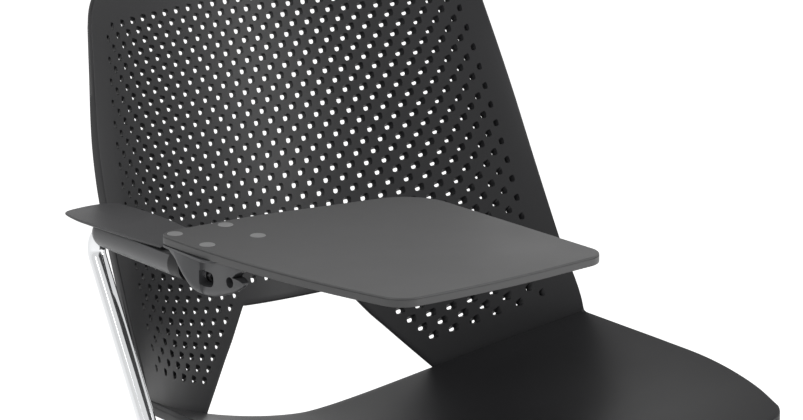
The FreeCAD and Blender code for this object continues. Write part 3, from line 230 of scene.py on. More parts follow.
# Saddles and screws
# Four moulded nylon saddles lie on the cross tubes and carry the bosses of the shell. A zinc-plated
# screw goes up through the tube and the saddle into each boss.
saddle_nylon = finish_material(
    "saddle_nylon", (0.018, 0.018, 0.019), (0.035, 0.035, 0.037), 0.38, 0.55, 0.0, 0.00002,
    cloud_scale=30.0, speck_scale=1600.0,
)
zinc_plate = finish_material(
    "zinc_plate", (0.42, 0.42, 0.4), (0.6, 0.6, 0.57), 0.25, 0.42, 1.0, 0.00001,
    cloud_scale=120.0, speck_scale=2400.0,
)
for saddle_name in ("front_left", "front_right", "rear_left", "rear_right"):
    paint_node(saddle_name + "_saddle", saddle_nylon)
paint_node("saddle_screws", zinc_plate)

# Foot glides
# Turned nylon feet: a plug in the end of each leg and a flanged sole that stands on the floor.
for glide_name in ("front_left", "front_right", "rear_left", "rear_right"):
    paint_node(glide_name + "_glide", saddle_nylon)

# Seat shell
# One moulding of black polypropylene: a dished seat and a wrapped back, joined at a crease on both sides
# of an opening, with a rim turned away from the sitter all round and a field of small holes in the back.
shell_middle = Vector((0.0165, 0.0715, 0.5))
shell_half = 0.2385
shell_wall = 0.0045
back_height = 0.331
level_shares = (-0.33, 0.0, 0.2, 0.4, 0.6, 0.8, 1.0, 1.08)
back_start = 0.13
back_lean = 0.0785
lean_shares = (-0.34, 0.0, 0.177, 0.326, 0.511, 0.745, 1.0, 1.11)
back_middles = [back_start + back_lean * share for share in lean_shares]
back_wrap = 0.128
wrap_shares = (0.75, 1.0, 0.843, 0.68, 0.568, 0.52, 0.484, 0.466)
back_wraps = [back_wrap * share for share in wrap_shares]
width_shares = (1.0, 1.0, 0.982, 0.966, 0.942, 0.897, 0.847, 0.82)
back_power = 1.88
margin_share = 0.11
margin_roll = 0.005
seat_length = 0.3
place_shares = (-1.15, -1.05, -0.93, -0.8, -0.6, -0.4, -0.2, 0.0, 0.17, 0.38, 0.95)
seat_dish = 0.082
depth_shares = (0.93, 0.74, 0.655, 0.66, 0.745, 0.85, 0.945, 1.0, 1.01, 1.0, 0.98)
seat_depths = [seat_dish * share for share in depth_shares]
side_shares = (0.42, 0.26, 0.145, 0.07, 0.012, 0.0, 0.0, 0.0, 0.0, 0.0, 0.0)
seat_sides = [seat_dish * share for share in side_shares]
seat_power = 1.65
taper_place_shares = (-0.93, -0.85, -0.73, -0.6, -0.4)
taper_width_shares = (0.966, 0.981, 0.994, 1.0, 1.0)


def smooth_value(places, values, place):
    """The value at a place on a smooth curve through the given values."""
    last = len(places) - 1
    index = 0
    while index < last - 1 and place > places[index + 1]:
        index += 1

    def slope(number):
        before = max(number - 1, 0)
        after = min(number + 1, last)
        return (values[after] - values[before]) / (places[after] - places[before])

    width = places[index + 1] - places[index]
    share = (place - places[index]) / width
    share_2 = share * share
    share_3 = share_2 * share
    start = (2 * share_3 - 3 * share_2 + 1) * values[index]
    end = (3 * share_2 - 2 * share_3) * values[index + 1]
    start_pull = (share_3 - 2 * share_2 + share) * width * slope(index)
    end_pull = (share_3 - share_2) * width * slope(index + 1)
    return start + end + start_pull + end_pull


def back_half_width(rise):
    return shell_half * smooth_value(level_shares, width_shares, rise / back_height)


def back_depth(across, rise):
    """How far behind the crease the back's show face lies; its outer margin rolls rearwards."""
    level = rise / back_height
    share = abs(across) / back_half_width(rise)
    roll = margin_roll * max(0.0, math.sin(math.pi * min(max(level, 0.0), 1.0))) ** 1.5
    margin = max(0.0, (share - 1.0 + margin_share) / margin_share) ** 2
    wrap = smooth_value(level_shares, back_wraps, level) + roll
    return smooth_value(level_shares, back_middles, level) - wrap * share**back_power + roll * margin


def seat_half_width(reach):
    if reach > seat_length * taper_place_shares[-1]:
        return shell_half
    return shell_half * smooth_value(taper_place_shares, taper_width_shares, reach / seat_length)


def seat_rise(across, reach):
    """The height of the seat's show face; it is dished across and turns down at the front."""
    low = smooth_value(place_shares, seat_depths, reach / seat_length)
    side = smooth_value(place_shares, seat_sides, reach / seat_length)
    return -low + (low - side) * (abs(across) / shell_half) ** seat_power


def crease_point(share):
    """Where the seat's face meets the back's face."""
    across = share * shell_half
    reach = 0.1
    for step in range(30):
        rise = seat_rise(across, reach)
        reach = back_depth(across, rise)
    return across, reach, rise


# The outline: a rounded corner is a curve with one control point
top_corner = ((0.172, 0.331), (0.202, 0.331), (0.2074, 0.301))
top_crown = 0.0035
front_corner = ((0.2084, -0.3), (0.2304, -0.3), (0.2304, -0.279))
front_bulge = 0.026
opening_middle = 0.0227
opening_arch = 0.0037
opening_places = (0.0567, 0.077, 0.0885, 0.106, 0.1245, 0.142)
opening_rises = (0.0264, 0.0, -0.0126, -0.032, -0.052, -0.071)


def corner_point(corner, turn):
    """A point on a rounded corner, turn going from 0 to 1."""
    weights = ((1 - turn) ** 2, 2 * turn * (1 - turn), turn**2)
    return tuple(sum(weight * point[axis] for weight, point in zip(weights, corner)) for axis in (0, 1))


def limit_at(share, corner, half_width, straight):
    """Where the column at a share of the width meets the outline."""
    if share <= corner[0][0] / half_width(corner[0][1]):
        return straight(share * half_width(corner[0][1]))
    low, high = 0.0, 1.0
    for step in range(40):
        turn = (low + high) / 2
        across, along = corner_point(corner, turn)
        if across / half_width(along) < share:
            low = turn
        else:
            high = turn
    return corner_point(corner, low)[1]


def back_top(share):
    def crown(across):
        return top_corner[0][1] + top_crown * (1 - (across / top_corner[0][0]) ** 2)

    return limit_at(share, top_corner, back_half_width, crown)


def seat_front(share):
    def bulge(across):
        return front_corner[0][1] - front_bulge * (1 - (across / front_corner[0][0]) ** 2)

    return limit_at(share, front_corner, seat_half_width, bulge)


def opening_rise(across):
    """The opening's upper edge: slightly hollow in the middle, slanting down at both ends."""
    if across < opening_places[0]:
        return opening_middle + opening_arch * (across / opening_places[0]) ** 2
    return smooth_value(opening_places, opening_rises, across)


end_share = 0.52
for step in range(40):
    end_share += (opening_rise(end_share * shell_half) - crease_point(end_share)[2]) * 2.0

corner_share = opening_places[0] / shell_half
half_shares = [corner_share * number / 12 for number in range(12)]
half_shares += [corner_share + (end_share - corner_share) * number / 16 for number in range(17)]
outer_share = 0.84
half_shares += [end_share + (outer_share - end_share) * number / 18 for number in range(1, 19)]
for number in range(1, 13):
    half_shares.append(outer_share + (1 - outer_share) * math.sin(math.pi / 2 * number / 12))
shares = [-share for share in reversed(half_shares[1:])] + half_shares
back_rows = 66
seat_rows = 80

shell = bmesh.new()
back_grid = []
seat_grid = []
for share in shares:
    size_share = abs(share)
    across, reach, rise = crease_point(size_share)
    on_crease = size_share >= end_share - 1e-6
    bottom = rise if on_crease else opening_rise(across)
    top = back_top(size_share)
    column = []
    for number in range(back_rows + 1):
        level = bottom + (top - bottom) * number / back_rows
        x = share * back_half_width(level)
        column.append(shell.verts.new((x, back_depth(x, level), level)))
    back_grid.append(column)
    front = seat_front(size_share)
    column = []
    for number in range(seat_rows + 1):
        place = reach + (front - reach) * number / seat_rows
        x = share * seat_half_width(place)
        column.append(shell.verts.new((x, place, seat_rise(x, place))))
    seat_grid.append(column)
for left, right in zip(back_grid[:-1], back_grid[1:]):
    for number in range(back_rows):
        shell.faces.new((left[number], right[number], right[number + 1], left[number + 1]))
for left, right in zip(seat_grid[:-1], seat_grid[1:]):
    for number in range(seat_rows):
        shell.faces.new((left[number + 1], right[number + 1], right[number], left[number]))
bmesh.ops.remove_doubles(shell, verts=shell.verts, dist=0.00002)
shell.normal_update()

# The crease is filleted
crease_turn = math.radians(25)
crease_fillet = 0.0035
crease_edges = []
for edge in shell.edges:
    if len(edge.link_faces) == 2 and edge.calc_face_angle() > crease_turn:
        crease_edges.append(edge)
bmesh.ops.bevel(shell, geom=crease_edges, offset=crease_fillet, segments=3, affect="EDGES", profile=0.5)
shell.normal_update()

# The rim is rolled over the edge and turned away from the sitter, and the wall closes the moulding
edge_roll = 0.0018
rim_wall = 0.0035
rim_depth = 0.0125
rim_least_depth = shell_wall + 0.0004
rim_round = 0.0006


def rim_frame(vert):
    """The outward, inward-surface and flange directions and the flange depth at an edge vertex."""
    ends = [edge.other_vert(vert) for edge in vert.link_edges if edge.is_boundary]
    along = (ends[0].co - ends[1].co).normalized()
    outward = along.cross(vert.normal).normalized()
    inside = sum((face.calc_center_median() for face in vert.link_faces), Vector()) / len(vert.link_faces)
    if outward.dot(vert.co - inside) < 0:
        outward.negate()
    place = vert.co
    in_opening = abs(place.x) < end_share * shell_half + 0.002 and place.y > 0.05 and place.z < 0.03
    if in_opening:
        return outward, -vert.normal, rim_least_depth
    if place.z > 0.004 and place.y > -0.02:
        level = min(place.z / back_height, 1.0)
        fullness = min(1.0, (1 - level) * 2)
        return outward, Vector((0, 1, 0)), rim_least_depth + (rim_depth - shell_wall) * fullness
    if place.y > -0.004:
        return outward, Vector((0, 0.7, -0.7)), rim_depth * 1.1
    return outward, Vector((0, 0, -1)), rim_depth


edge_verts = [vert for vert in shell.verts if vert.is_boundary]
edge_pairs = [edge.verts[:] for edge in shell.edges if edge.is_boundary]
show_faces = list(shell.faces)
rear = {}
for vert in shell.verts:
    spread = sum(vert.normal.dot(face.normal) for face in vert.link_faces) / len(vert.link_faces)
    rear[vert] = vert.co - vert.normal * (shell_wall / max(spread, 0.6))
rings = {}
roll_steps = 3
for vert in edge_verts:
    outward, turned, depth = rim_frame(vert)
    line = []
    for step in range(1, roll_steps + 1):
        angle = math.pi / 2 * step / roll_steps
        spread = outward * edge_roll * math.sin(angle)
        line.append(vert.co + spread + turned * edge_roll * (1 - math.cos(angle)))
    line.append(vert.co + outward * edge_roll + turned * (depth - rim_round))
    line.append(vert.co + outward * (edge_roll - rim_round) + turned * depth)
    line.append(vert.co + outward * (edge_roll - rim_wall + rim_round) + turned * depth)
    line.append(vert.co + outward * (edge_roll - rim_wall) + turned * (depth - rim_round))
    rear[vert] = rear[vert] + outward * (edge_roll - rim_wall)
    rings[vert] = line
rear_verts = {vert: shell.verts.new(place) for vert, place in rear.items()}
for face in show_faces:
    shell.faces.new([rear_verts[vert] for vert in reversed(face.verts[:])])
ring_verts = {}
for vert, line in rings.items():
    ring_verts[vert] = [vert] + [shell.verts.new(place) for place in line] + [rear_verts[vert]]
for first, second in edge_pairs:
    first_line = ring_verts[first]
    second_line = ring_verts[second]
    for number in range(len(first_line) - 1):
        quad = (first_line[number], first_line[number + 1], second_line[number + 1], second_line[number])
        shell.faces.new(quad)
bmesh.ops.recalc_face_normals(shell, faces=shell.faces)

# Four bosses under the seat stand on the saddles
boss_radius = 0.013
boss_foot_round = 0.0008
boss_flare = 0.002
boss_sides = 36
boss_places = (
    (0.13, -0.18, -0.06505), (-0.13, -0.18, -0.06505), (0.13, 0.05, -0.08785), (-0.13, 0.05, -0.08785),
)
boss_rings = (
    (boss_radius - boss_foot_round, 0.0), (boss_radius, boss_foot_round), (boss_radius, None),
    (boss_radius + boss_flare, None),
)
for across, reach, foot in boss_places:
    made = []
    for radius, rise in boss_rings:
        ring = []
        for side in range(boss_sides):
            turn = 2 * math.pi * side / boss_sides
            x = across + radius * math.cos(turn)
            y = reach + radius * math.sin(turn)
            under = seat_rise(x, y) - shell_wall - boss_flare + (radius - boss_radius) * 1.6
            ring.append(shell.verts.new((x, y, under if rise is None else foot + rise)))
        made.append(ring)
    for first, second in zip(made[:-1], made[1:]):
        for side in range(boss_sides):
            following = (side + 1) % boss_sides
            shell.faces.new((first[side], first[following], second[following], second[side]))
    shell.faces.new(made[0][::-1])
    shell.faces.new(made[-1])
for vert in shell.verts:
    vert.co += shell_middle
shell_mesh = bpy.data.meshes.new("seat_shell_moulding")
shell.to_mesh(shell_mesh)
shell.free()
shell_piece = bpy.data.objects.new("seat_shell_moulding", shell_mesh)
scene.collection.objects.link(shell_piece)

# The holes through the back lie in rows that follow its curve, each row half a step from the next
hole_rows = range(-7, 27)
hole_levels = (-7, -5, 0, 5, 10, 12, 25, 26)
hole_heights = (0.2934, 0.2751, 0.2303, 0.1831, 0.1325, 0.1111, -0.0357, -0.047)
hole_bows = (0.11, 0.11, 0.11, 0.19, 0.4, 0.5, 1.3, 1.35)
hole_pitches = (0.0149, 0.01516, 0.01576, 0.01616, 0.01645, 0.01658, 0.01692, 0.01693)
hole_spread_share = 0.0012
hole_pitch_share = 0.982
hole_shift = 0.0008
hole_middle_shift = 0.0016
hole_middle_place = 0.03
hole_middle_reach = 0.13
hole_width = 0.0074
hole_height = 0.0074
hole_corner = 0.0022
hole_narrowing = 0.00125
full_columns = 9.5
last_column = 12.5
low_row_counts = {23: 7, 24: 7, 25: 6, 26: 6}
hole_floor_slope = -0.22
hole_roof_slope = -0.9
hole_roof_spread = -0.35
hole_left_roof_share = 1.6
hole_side_slope = -0.38
side_slope_start = -0.12
side_slope_span = 0.3
side_slope_shift = 0.0018
roof_spread_reach = 0.19
clear_below = 0.041
clear_margin = 0.014


def hole_is_clear(across, level):
    """Whether a hole lies on the back, above or beside the opening."""
    return level >= clear_below or across >= 0.056 + (0.024 - level) * 71 / 84 + clear_margin


hole_points = []
hole_scales = []
hole_slopes = []
for row_number in hole_rows:
    pitch = smooth_value(hole_levels, hole_pitches, row_number)
    bow = smooth_value(hole_levels, hole_bows, row_number)
    height = smooth_value(hole_levels, hole_heights, row_number)
    column = 0.5 if row_number % 2 == 0 else 0.0
    kept = 0
    while column <= last_column and kept < low_row_counts.get(row_number, 99):
        across = column * pitch * (1 + hole_spread_share * column)
        level = height + bow * across**2
        if hole_is_clear(across, level):
            kept += 1
            scale = (1 - hole_narrowing / hole_width * max(0.0, column - full_columns), 1.0, 1.0)
            for side in ((-1, 1) if column else (1,)):
                x = side * across * hole_pitch_share
                side_share = min(1.0, max(0.0, (x - side_slope_start) / side_slope_span))
                side_slope = hole_side_slope * side_share
                middle_share = max(0.0, 1 - ((x - hole_middle_place) / hole_middle_reach) ** 2)
                x += hole_shift + hole_middle_shift * middle_share - side_slope * side_slope_shift
                z = level + hole_shift
                hole_points.append(shell_middle + Vector((x, back_depth(x, z), z)))
                hole_scales.append(scale)
                far = hole_roof_spread * min(1.0, (across / roof_spread_reach) ** 2)
                if side > 0:
                    far *= hole_left_roof_share
                hole_slopes.append((side_slope, 0.0, hole_roof_slope + far))
        column += 1.0
points_mesh = bpy.data.meshes.new("hole_points")
points_mesh.from_pydata(hole_points, [], [])
stored = {"hole_scale": hole_scales, "hole_place": hole_points, "hole_slope": hole_slopes}
for stored_name, vectors in stored.items():
    attribute = points_mesh.attributes.new(stored_name, "FLOAT_VECTOR", "POINT")
    attribute.data.foreach_set("vector", [value for vector in vectors for value in vector])
points_piece = bpy.data.objects.new("hole_points", points_mesh)


def geometry_group(name, inputs):
    """An empty geometry node tree with a geometry socket each way and the given named inputs."""
    tree = bpy.data.node_groups.new(name, "GeometryNodeTree")
    tree.interface.new_socket(name="Geometry", in_out="INPUT", socket_type="NodeSocketGeometry")
    for socket_name, kind in inputs:
        tree.interface.new_socket(name=socket_name, in_out="INPUT", socket_type=kind)
    tree.interface.new_socket(name="Geometry", in_out="OUTPUT", socket_type="NodeSocketGeometry")
    return tree, tree.nodes.new("NodeGroupInput"), tree.nodes.new("NodeGroupOutput")


def cut_and_paint(tree, given, tool, result):
    """Cuts the tool's mesh from the given one, makes it plain and gives it its material."""
    cut = tree.nodes.new("GeometryNodeMeshBoolean")
    cut.operation = "DIFFERENCE"
    cut.solver = "MANIFOLD"
    tree.links.new(given.outputs["Geometry"], cut.inputs["Mesh 1"])
    tree.links.new(tool, cut.inputs["Mesh 2"])
    plain = tree.nodes.new("GeometryNodeRealizeInstances")
    tree.links.new(cut.outputs["Mesh"], plain.inputs["Geometry"])
    painted = tree.nodes.new("GeometryNodeSetMaterial")
    tree.links.new(plain.outputs["Geometry"], painted.inputs["Geometry"])
    tree.links.new(given.outputs["Material"], painted.inputs["Material"])
    tree.links.new(painted.outputs["Geometry"], result.inputs["Geometry"])


def point_value(tree, name):
    """The vector that is stored on the hole points under a name."""
    node = tree.nodes.new("GeometryNodeInputNamedAttribute")
    node.data_type = "FLOAT_VECTOR"
    node.inputs["Name"].default_value = name
    return node.outputs["Attribute"]


def make_perforation_tree():
    """Instances a rounded prism on every hole point and cuts them all from the mesh."""
    tree, given, result = geometry_group(
        "perforation",
        (
            ("Hole points", "NodeSocketObject"),
            ("Hole width", "NodeSocketFloat"),
            ("Hole height", "NodeSocketFloat"),
            ("Corner radius", "NodeSocketFloat"),
            ("Cut depth", "NodeSocketFloat"),
            ("Cut start", "NodeSocketFloat"),
            ("Floor slope", "NodeSocketFloat"),
            ("Material", "NodeSocketMaterial"),
        ),
    )
    link = tree.links.new
    outline = tree.nodes.new("GeometryNodeCurvePrimitiveQuadrilateral")
    link(given.outputs["Hole width"], outline.inputs["Width"])
    link(given.outputs["Hole height"], outline.inputs["Height"])
    rounded = tree.nodes.new("GeometryNodeFilletCurve")
    rounded.mode = "POLY"
    rounded.inputs["Count"].default_value = 2
    link(outline.outputs["Curve"], rounded.inputs["Curve"])
    link(given.outputs["Corner radius"], rounded.inputs["Radius"])
    filled = tree.nodes.new("GeometryNodeFillCurve")
    filled.mode = "NGONS"
    link(rounded.outputs["Curve"], filled.inputs["Curve"])
    raised = tree.nodes.new("GeometryNodeExtrudeMesh")
    link(filled.outputs["Mesh"], raised.inputs["Mesh"])
    link(given.outputs["Cut depth"], raised.inputs["Offset Scale"])
    flipped = tree.nodes.new("GeometryNodeFlipFaces")
    link(filled.outputs["Mesh"], flipped.inputs["Mesh"])
    joined = tree.nodes.new("GeometryNodeJoinGeometry")
    link(raised.outputs["Mesh"], joined.inputs["Geometry"])
    link(flipped.outputs["Mesh"], joined.inputs["Geometry"])
    merged = tree.nodes.new("GeometryNodeMergeByDistance")
    merged.inputs["Distance"].default_value = 0.000001
    link(joined.outputs["Geometry"], merged.inputs["Geometry"])
    shift = tree.nodes.new("ShaderNodeCombineXYZ")
    link(calc(tree, "SUBTRACT", given.outputs["Cut start"], given.outputs["Cut depth"]), shift.inputs["Z"])
    centred = tree.nodes.new("GeometryNodeTransform")
    link(merged.outputs["Geometry"], centred.inputs["Geometry"])
    link(shift.outputs["Vector"], centred.inputs["Translation"])
    upright = tree.nodes.new("GeometryNodeTransform")
    upright.inputs["Rotation"].default_value = (math.pi / 2, 0.0, 0.0)
    link(centred.outputs["Geometry"], upright.inputs["Geometry"])
    places = tree.nodes.new("GeometryNodeObjectInfo")
    link(given.outputs["Hole points"], places.inputs["Object"])
    cutters = tree.nodes.new("GeometryNodeInstanceOnPoints")
    link(places.outputs["Geometry"], cutters.inputs["Points"])
    link(upright.outputs["Geometry"], cutters.inputs["Instance"])
    link(point_value(tree, "hole_scale"), cutters.inputs["Scale"])
    solid = tree.nodes.new("GeometryNodeRealizeInstances")
    link(cutters.outputs["Instances"], solid.inputs["Geometry"])
    here = tree.nodes.new("GeometryNodeInputPosition")
    slopes = tree.nodes.new("ShaderNodeSeparateXYZ")
    link(point_value(tree, "hole_slope"), slopes.inputs["Vector"])
    away = tree.nodes.new("ShaderNodeVectorMath")
    away.operation = "SUBTRACT"
    link(here.outputs["Position"], away.inputs[0])
    link(point_value(tree, "hole_place"), away.inputs[1])
    parts = tree.nodes.new("ShaderNodeSeparateXYZ")
    link(away.outputs["Vector"], parts.inputs["Vector"])
    width_share = calc(tree, "DIVIDE", parts.outputs["X"], given.outputs["Hole width"])
    height_share = calc(tree, "DIVIDE", parts.outputs["Z"], given.outputs["Hole height"])
    side_lean = calc(tree, "MULTIPLY", calc(tree, "ADD", width_share, 0.5), slopes.outputs["X"])
    roof_lean = calc(tree, "MULTIPLY", calc(tree, "ADD", height_share, 0.5), slopes.outputs["Z"])
    floor_share = calc(tree, "SUBTRACT", 0.5, height_share)
    floor_lean = calc(tree, "MULTIPLY", floor_share, given.outputs["Floor slope"])
    drop = tree.nodes.new("ShaderNodeCombineXYZ")
    link(calc(tree, "MULTIPLY", side_lean, parts.outputs["Y"]), drop.inputs["X"])
    lean = calc(tree, "ADD", roof_lean, floor_lean)
    link(calc(tree, "MULTIPLY", lean, parts.outputs["Y"]), drop.inputs["Z"])
    tapered = tree.nodes.new("GeometryNodeSetPosition")
    link(solid.outputs["Geometry"], tapered.inputs["Geometry"])
    link(drop.outputs["Vector"], tapered.inputs["Offset"])
    cut_and_paint(tree, given, tapered.outputs["Geometry"], result)
    return tree


def grow(piece, tree, **values):
    """Run a geometry node tree on a piece and give back the result as a plain mesh."""
    modifier = piece.modifiers.new(tree.name, "NODES")
    modifier.node_group = tree
    for item in tree.interface.items_tree:
        key = item.name.lower().replace(" ", "_")
        if item.in_out == "INPUT" and key in values:
            modifier[item.identifier] = values[key]
    graph = bpy.context.evaluated_depsgraph_get()
    made = bpy.data.meshes.new_from_object(piece.evaluated_get(graph))
    piece.modifiers.remove(modifier)
    return made


shell_plastic = finish_material(
    "shell_plastic", (0.012, 0.012, 0.013), (0.024, 0.024, 0.026), 0.36, 0.5, 0.0, 0.00004,
    specular=0.3, cloud_scale=8.0, speck_scale=1500.0,
)
scene.collection.objects.link(points_piece)
pierced_mesh = grow(
    shell_piece,
    make_perforation_tree(),
    hole_points=points_piece,
    hole_width=hole_width,
    hole_height=hole_height,
    corner_radius=hole_corner,
    cut_depth=0.011,
    cut_start=0.004,
    floor_slope=hole_floor_slope,
    material=shell_plastic,
)
bpy.data.objects.remove(points_piece)


def keep_smooth(pierced, whole, low, high):
    """Give the pierced faces inside a box the normals that the whole surface has there."""
    tree = BVHTree.FromPolygons(
        [vert.co for vert in whole.vertices], [polygon.vertices[:] for polygon in whole.polygons]
    )
    surface = {}
    for vert in pierced.vertices:
        if any(vert.co[axis] < low[axis] or vert.co[axis] > high[axis] for axis in range(3)):
            continue
        place, _, number, distance = tree.find_nearest(vert.co)
        if distance < 0.00002:
            corners = whole.polygons[number].vertices
            weights = poly_3d_calc([whole.vertices[corner].co for corner in corners], place)
            normal = Vector()
            for corner, weight in zip(corners, weights):
                normal += whole.vertices[corner].normal * weight
            surface[vert.index] = normal.normalized()
    normals = [(0.0, 0.0, 0.0)] * len(pierced.loops)
    for polygon in pierced.polygons:
        for loop in polygon.loop_indices:
            normal = surface.get(pierced.loops[loop].vertex_index)
            if normal is not None and normal.dot(polygon.normal) > 0.8:
                normals[loop] = normal
    pierced.normals_split_custom_set(normals)


shell_mesh.shade_smooth()
pierced_mesh.shade_smooth()
pierced_mesh.set_sharp_from_angle(angle=math.radians(38))
field_low = shell_middle + Vector((-0.216, -0.1, -0.07))
field_high = shell_middle + Vector((0.216, 0.3, 0.318))
keep_smooth(pierced_mesh, shell_mesh, field_low, field_high)
shell_piece.data = pierced_mesh
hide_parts("seat_shell")
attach(shell_piece, "chair")

# Arm post and clamp
# One slim bent chromed tube carries the arm: it rises beside the shell and turns forward in a tight elbow.
# Two cast aluminium halves clamp its lower end to the rail.
arm_line = -0.262
hinge_level = 0.6485
post_radius = 0.008
post_level = hinge_level - 0.0025
post_lean = 76.3 / 130.0
post_low_end = (-0.2143, -0.0812, 0.41015)


def bent_path(corners, bends, arc_steps):
    """Places along the centre line of a bent tube: straight runs joined by arcs."""
    corners = [Vector(corner) for corner in corners]
    places = [corners[0]]
    for before, corner, after, bend in zip(corners[:-2], corners[1:-1], corners[2:], bends):
        back = (before - corner).normalized()
        ahead = (after - corner).normalized()
        half_turn = (math.pi - back.angle(ahead)) / 2
        middle = corner + (back + ahead).normalized() * bend / math.cos(half_turn)
        first = (corner + back * bend * math.tan(half_turn) - middle).normalized()
        last = (corner + ahead * bend * math.tan(half_turn) - middle).normalized()
        for step in range(arc_steps + 1):
            places.append(middle + first.slerp(last, step / arc_steps) * bend)
    places.append(corners[-1])
    return places


def closed_outline(corners, bends, arc_steps):
    """A closed outline with rounded corners."""
    middle = (Vector(corners[-1]) + Vector(corners[0])) / 2
    return bent_path([middle, *corners, middle], bends, arc_steps)[1:-1]


def skin(name, rings):
    """A closed smooth-sided mesh through rings that each have the same number of places."""
    mesh = bmesh.new()
    made = [[mesh.verts.new(place) for place in ring] for ring in rings]
    for first, second in zip(made[:-1], made[1:]):
        for number in range(len(first)):
            following = (number + 1) % len(first)
            mesh.faces.new((first[number], first[following], second[following], second[number]))
    mesh.faces.new(made[0])
    mesh.faces.new(made[-1])
    bmesh.ops.remove_doubles(mesh, verts=mesh.verts, dist=0.000002)
    bmesh.ops.recalc_face_normals(mesh, faces=mesh.faces)
    for vert in mesh.verts:
        vert.co += Vector((shell_middle.x, shell_middle.y, 0.0))
    data = bpy.data.meshes.new(name)
    mesh.to_mesh(data)
    mesh.free()
    data.shade_smooth()
    data.set_sharp_from_angle(angle=math.radians(32))
    piece = bpy.data.objects.new(name, data)
    scene.collection.objects.link(piece)
    return piece


def swept_rings(places, radius, sides):
    """Rings of places round the centre line of a tube."""
    rings = []
    across = None
    for number, place in enumerate(places):
        following = places[min(number + 1, len(places) - 1)]
        along = (following - places[max(number - 1, 0)]).normalized()
        across = along.orthogonal() if across is None else across
        across = (across - along * across.dot(along)).normalized()
        other = along.cross(across)
        turns = [2 * math.pi * side / sides for side in range(sides)]
        rings.append([place + (across * math.cos(turn) + other * math.sin(turn)) * radius for turn in turns])
    return rings


post_corners = (
    (arm_line, 0.012, post_level),
    (arm_line, -0.0273 + post_lean * (post_level - 0.502), post_level),
    (arm_line, post_low_end[1], post_low_end[2]),
    post_low_end,
)
post_places = bent_path(post_corners, (0.016, 0.038), 20)
post_piece = skin("arm_post_tube", swept_rings(post_places, post_radius, 56))
post_piece.data.materials.append(bright_chrome)
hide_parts("arm_post")
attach(post_piece, "chair")
cast_aluminium = finish_material(
    "cast_aluminium", (0.42, 0.42, 0.43), (0.6, 0.6, 0.61), 0.35, 0.5, 1.0, 0.00003,
    cloud_scale=40.0, speck_scale=1200.0,
)
black_steel = finish_material(
    "black_steel", (0.03, 0.03, 0.032), (0.07, 0.07, 0.072), 0.3, 0.45, 1.0, 0.00001,
    cloud_scale=90.0, speck_scale=2400.0,
)
paint_node("post_clamp_outer", cast_aluminium)
paint_node("post_clamp_inner", cast_aluminium)
paint_node("clamp_bolts", black_steel)

# Arm barrel
# A satin moulded nylon barrel with a flat on top and a domed rear end that takes the elbow of the post.
barrel_radius = 0.0135
barrel_flat = 0.0075
barrel_front = -0.09
barrel_rear = 0.0265
barrel_chamfer = 0.0006
barrel_sides = 56
barrel_nylon = finish_material(
    "barrel_nylon", (0.05, 0.051, 0.054), (0.085, 0.086, 0.09), 0.3, 0.42, 0.0, 0.00002,
    cloud_scale=20.0, speck_scale=1800.0,
)


def barrel_ring(reach, radius):
    """A ring round the barrel's axis, cut level where it would stand above the flat."""
    start = math.asin(min(1.0, barrel_flat / max(radius, 0.0001)))
    turn = math.pi + 2 * start
    ring = []
    for side in range(barrel_sides + 1):
        angle = start - turn * side / barrel_sides
        ring.append((arm_line + radius * math.cos(angle), reach, hinge_level + radius * math.sin(angle)))
    return ring


barrel_run = barrel_rear - barrel_front
barrel_stations = [(barrel_front, barrel_radius - barrel_chamfer)]
barrel_stations.append((barrel_front + barrel_chamfer, barrel_radius))
for number in range(1, 12):
    barrel_stations.append((barrel_front + barrel_run * number / 12, barrel_radius))
for number in range(17):
    angle = math.pi / 2 * number / 17
    barrel_stations.append((barrel_rear + barrel_radius * math.sin(angle), barrel_radius * math.cos(angle)))
barrel_piece = skin("arm_barrel_moulding", [barrel_ring(*station) for station in barrel_stations])
barrel_piece.data.materials.append(barrel_nylon)
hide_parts("arm_barrel")
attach(barrel_piece, "chair")

# Arm pad
# A thin leaf-shaped pad of grained plastic with two studs that lock in the barrel. Its underside is
# chamfered, so only a fine edge shows.
pad_low = hinge_level + barrel_flat
pad_height = 0.004
pad_points = (
    (-0.01025, -0.0745), (-0.0152, -0.0342), (-0.0195, 0.0175), (-0.0205, 0.0319), (-0.0209, 0.0502),
    (-0.016, 0.0699), (0.0026, 0.076), (0.0244, 0.076), (0.0374, 0.0684), (0.0405, 0.0502),
    (0.0431, 0.0243), (0.0435, -0.0076), (0.0413, -0.0342), (0.0396, -0.0745),
)
pad_steps = 9
pad_grain = finish_material(
    "pad_grain", (0.04, 0.04, 0.042), (0.075, 0.075, 0.078), 0.45, 0.6, 0.0, 0.0001,
    cloud_scale=12.0, speck_scale=1400.0,
)


def smooth_line(points, steps):
    """More places on a smooth line through the given ones."""
    places = range(len(points))
    columns = list(zip(*points))
    line = []
    for number in range((len(points) - 1) * steps + 1):
        share = number / steps
        line.append([smooth_value(places, column, share) for column in columns])
    return line


def inset_ring(outline, inset, level):
    """A closed outline drawn in by an inset, at a level."""
    ring = []
    count = len(outline)
    for number, place in enumerate(outline):
        before = Vector(outline[number - 1])
        after = Vector(outline[(number + 1) % count])
        here = Vector(place)
        first = (here - before).normalized()
        second = (after - here).normalized()
        side = (first + second).normalized()
        sine = max(0.5, side.dot(first))
        ring.append((here.x + side.y * inset / sine, here.y - side.x * inset / sine, level))
    return ring


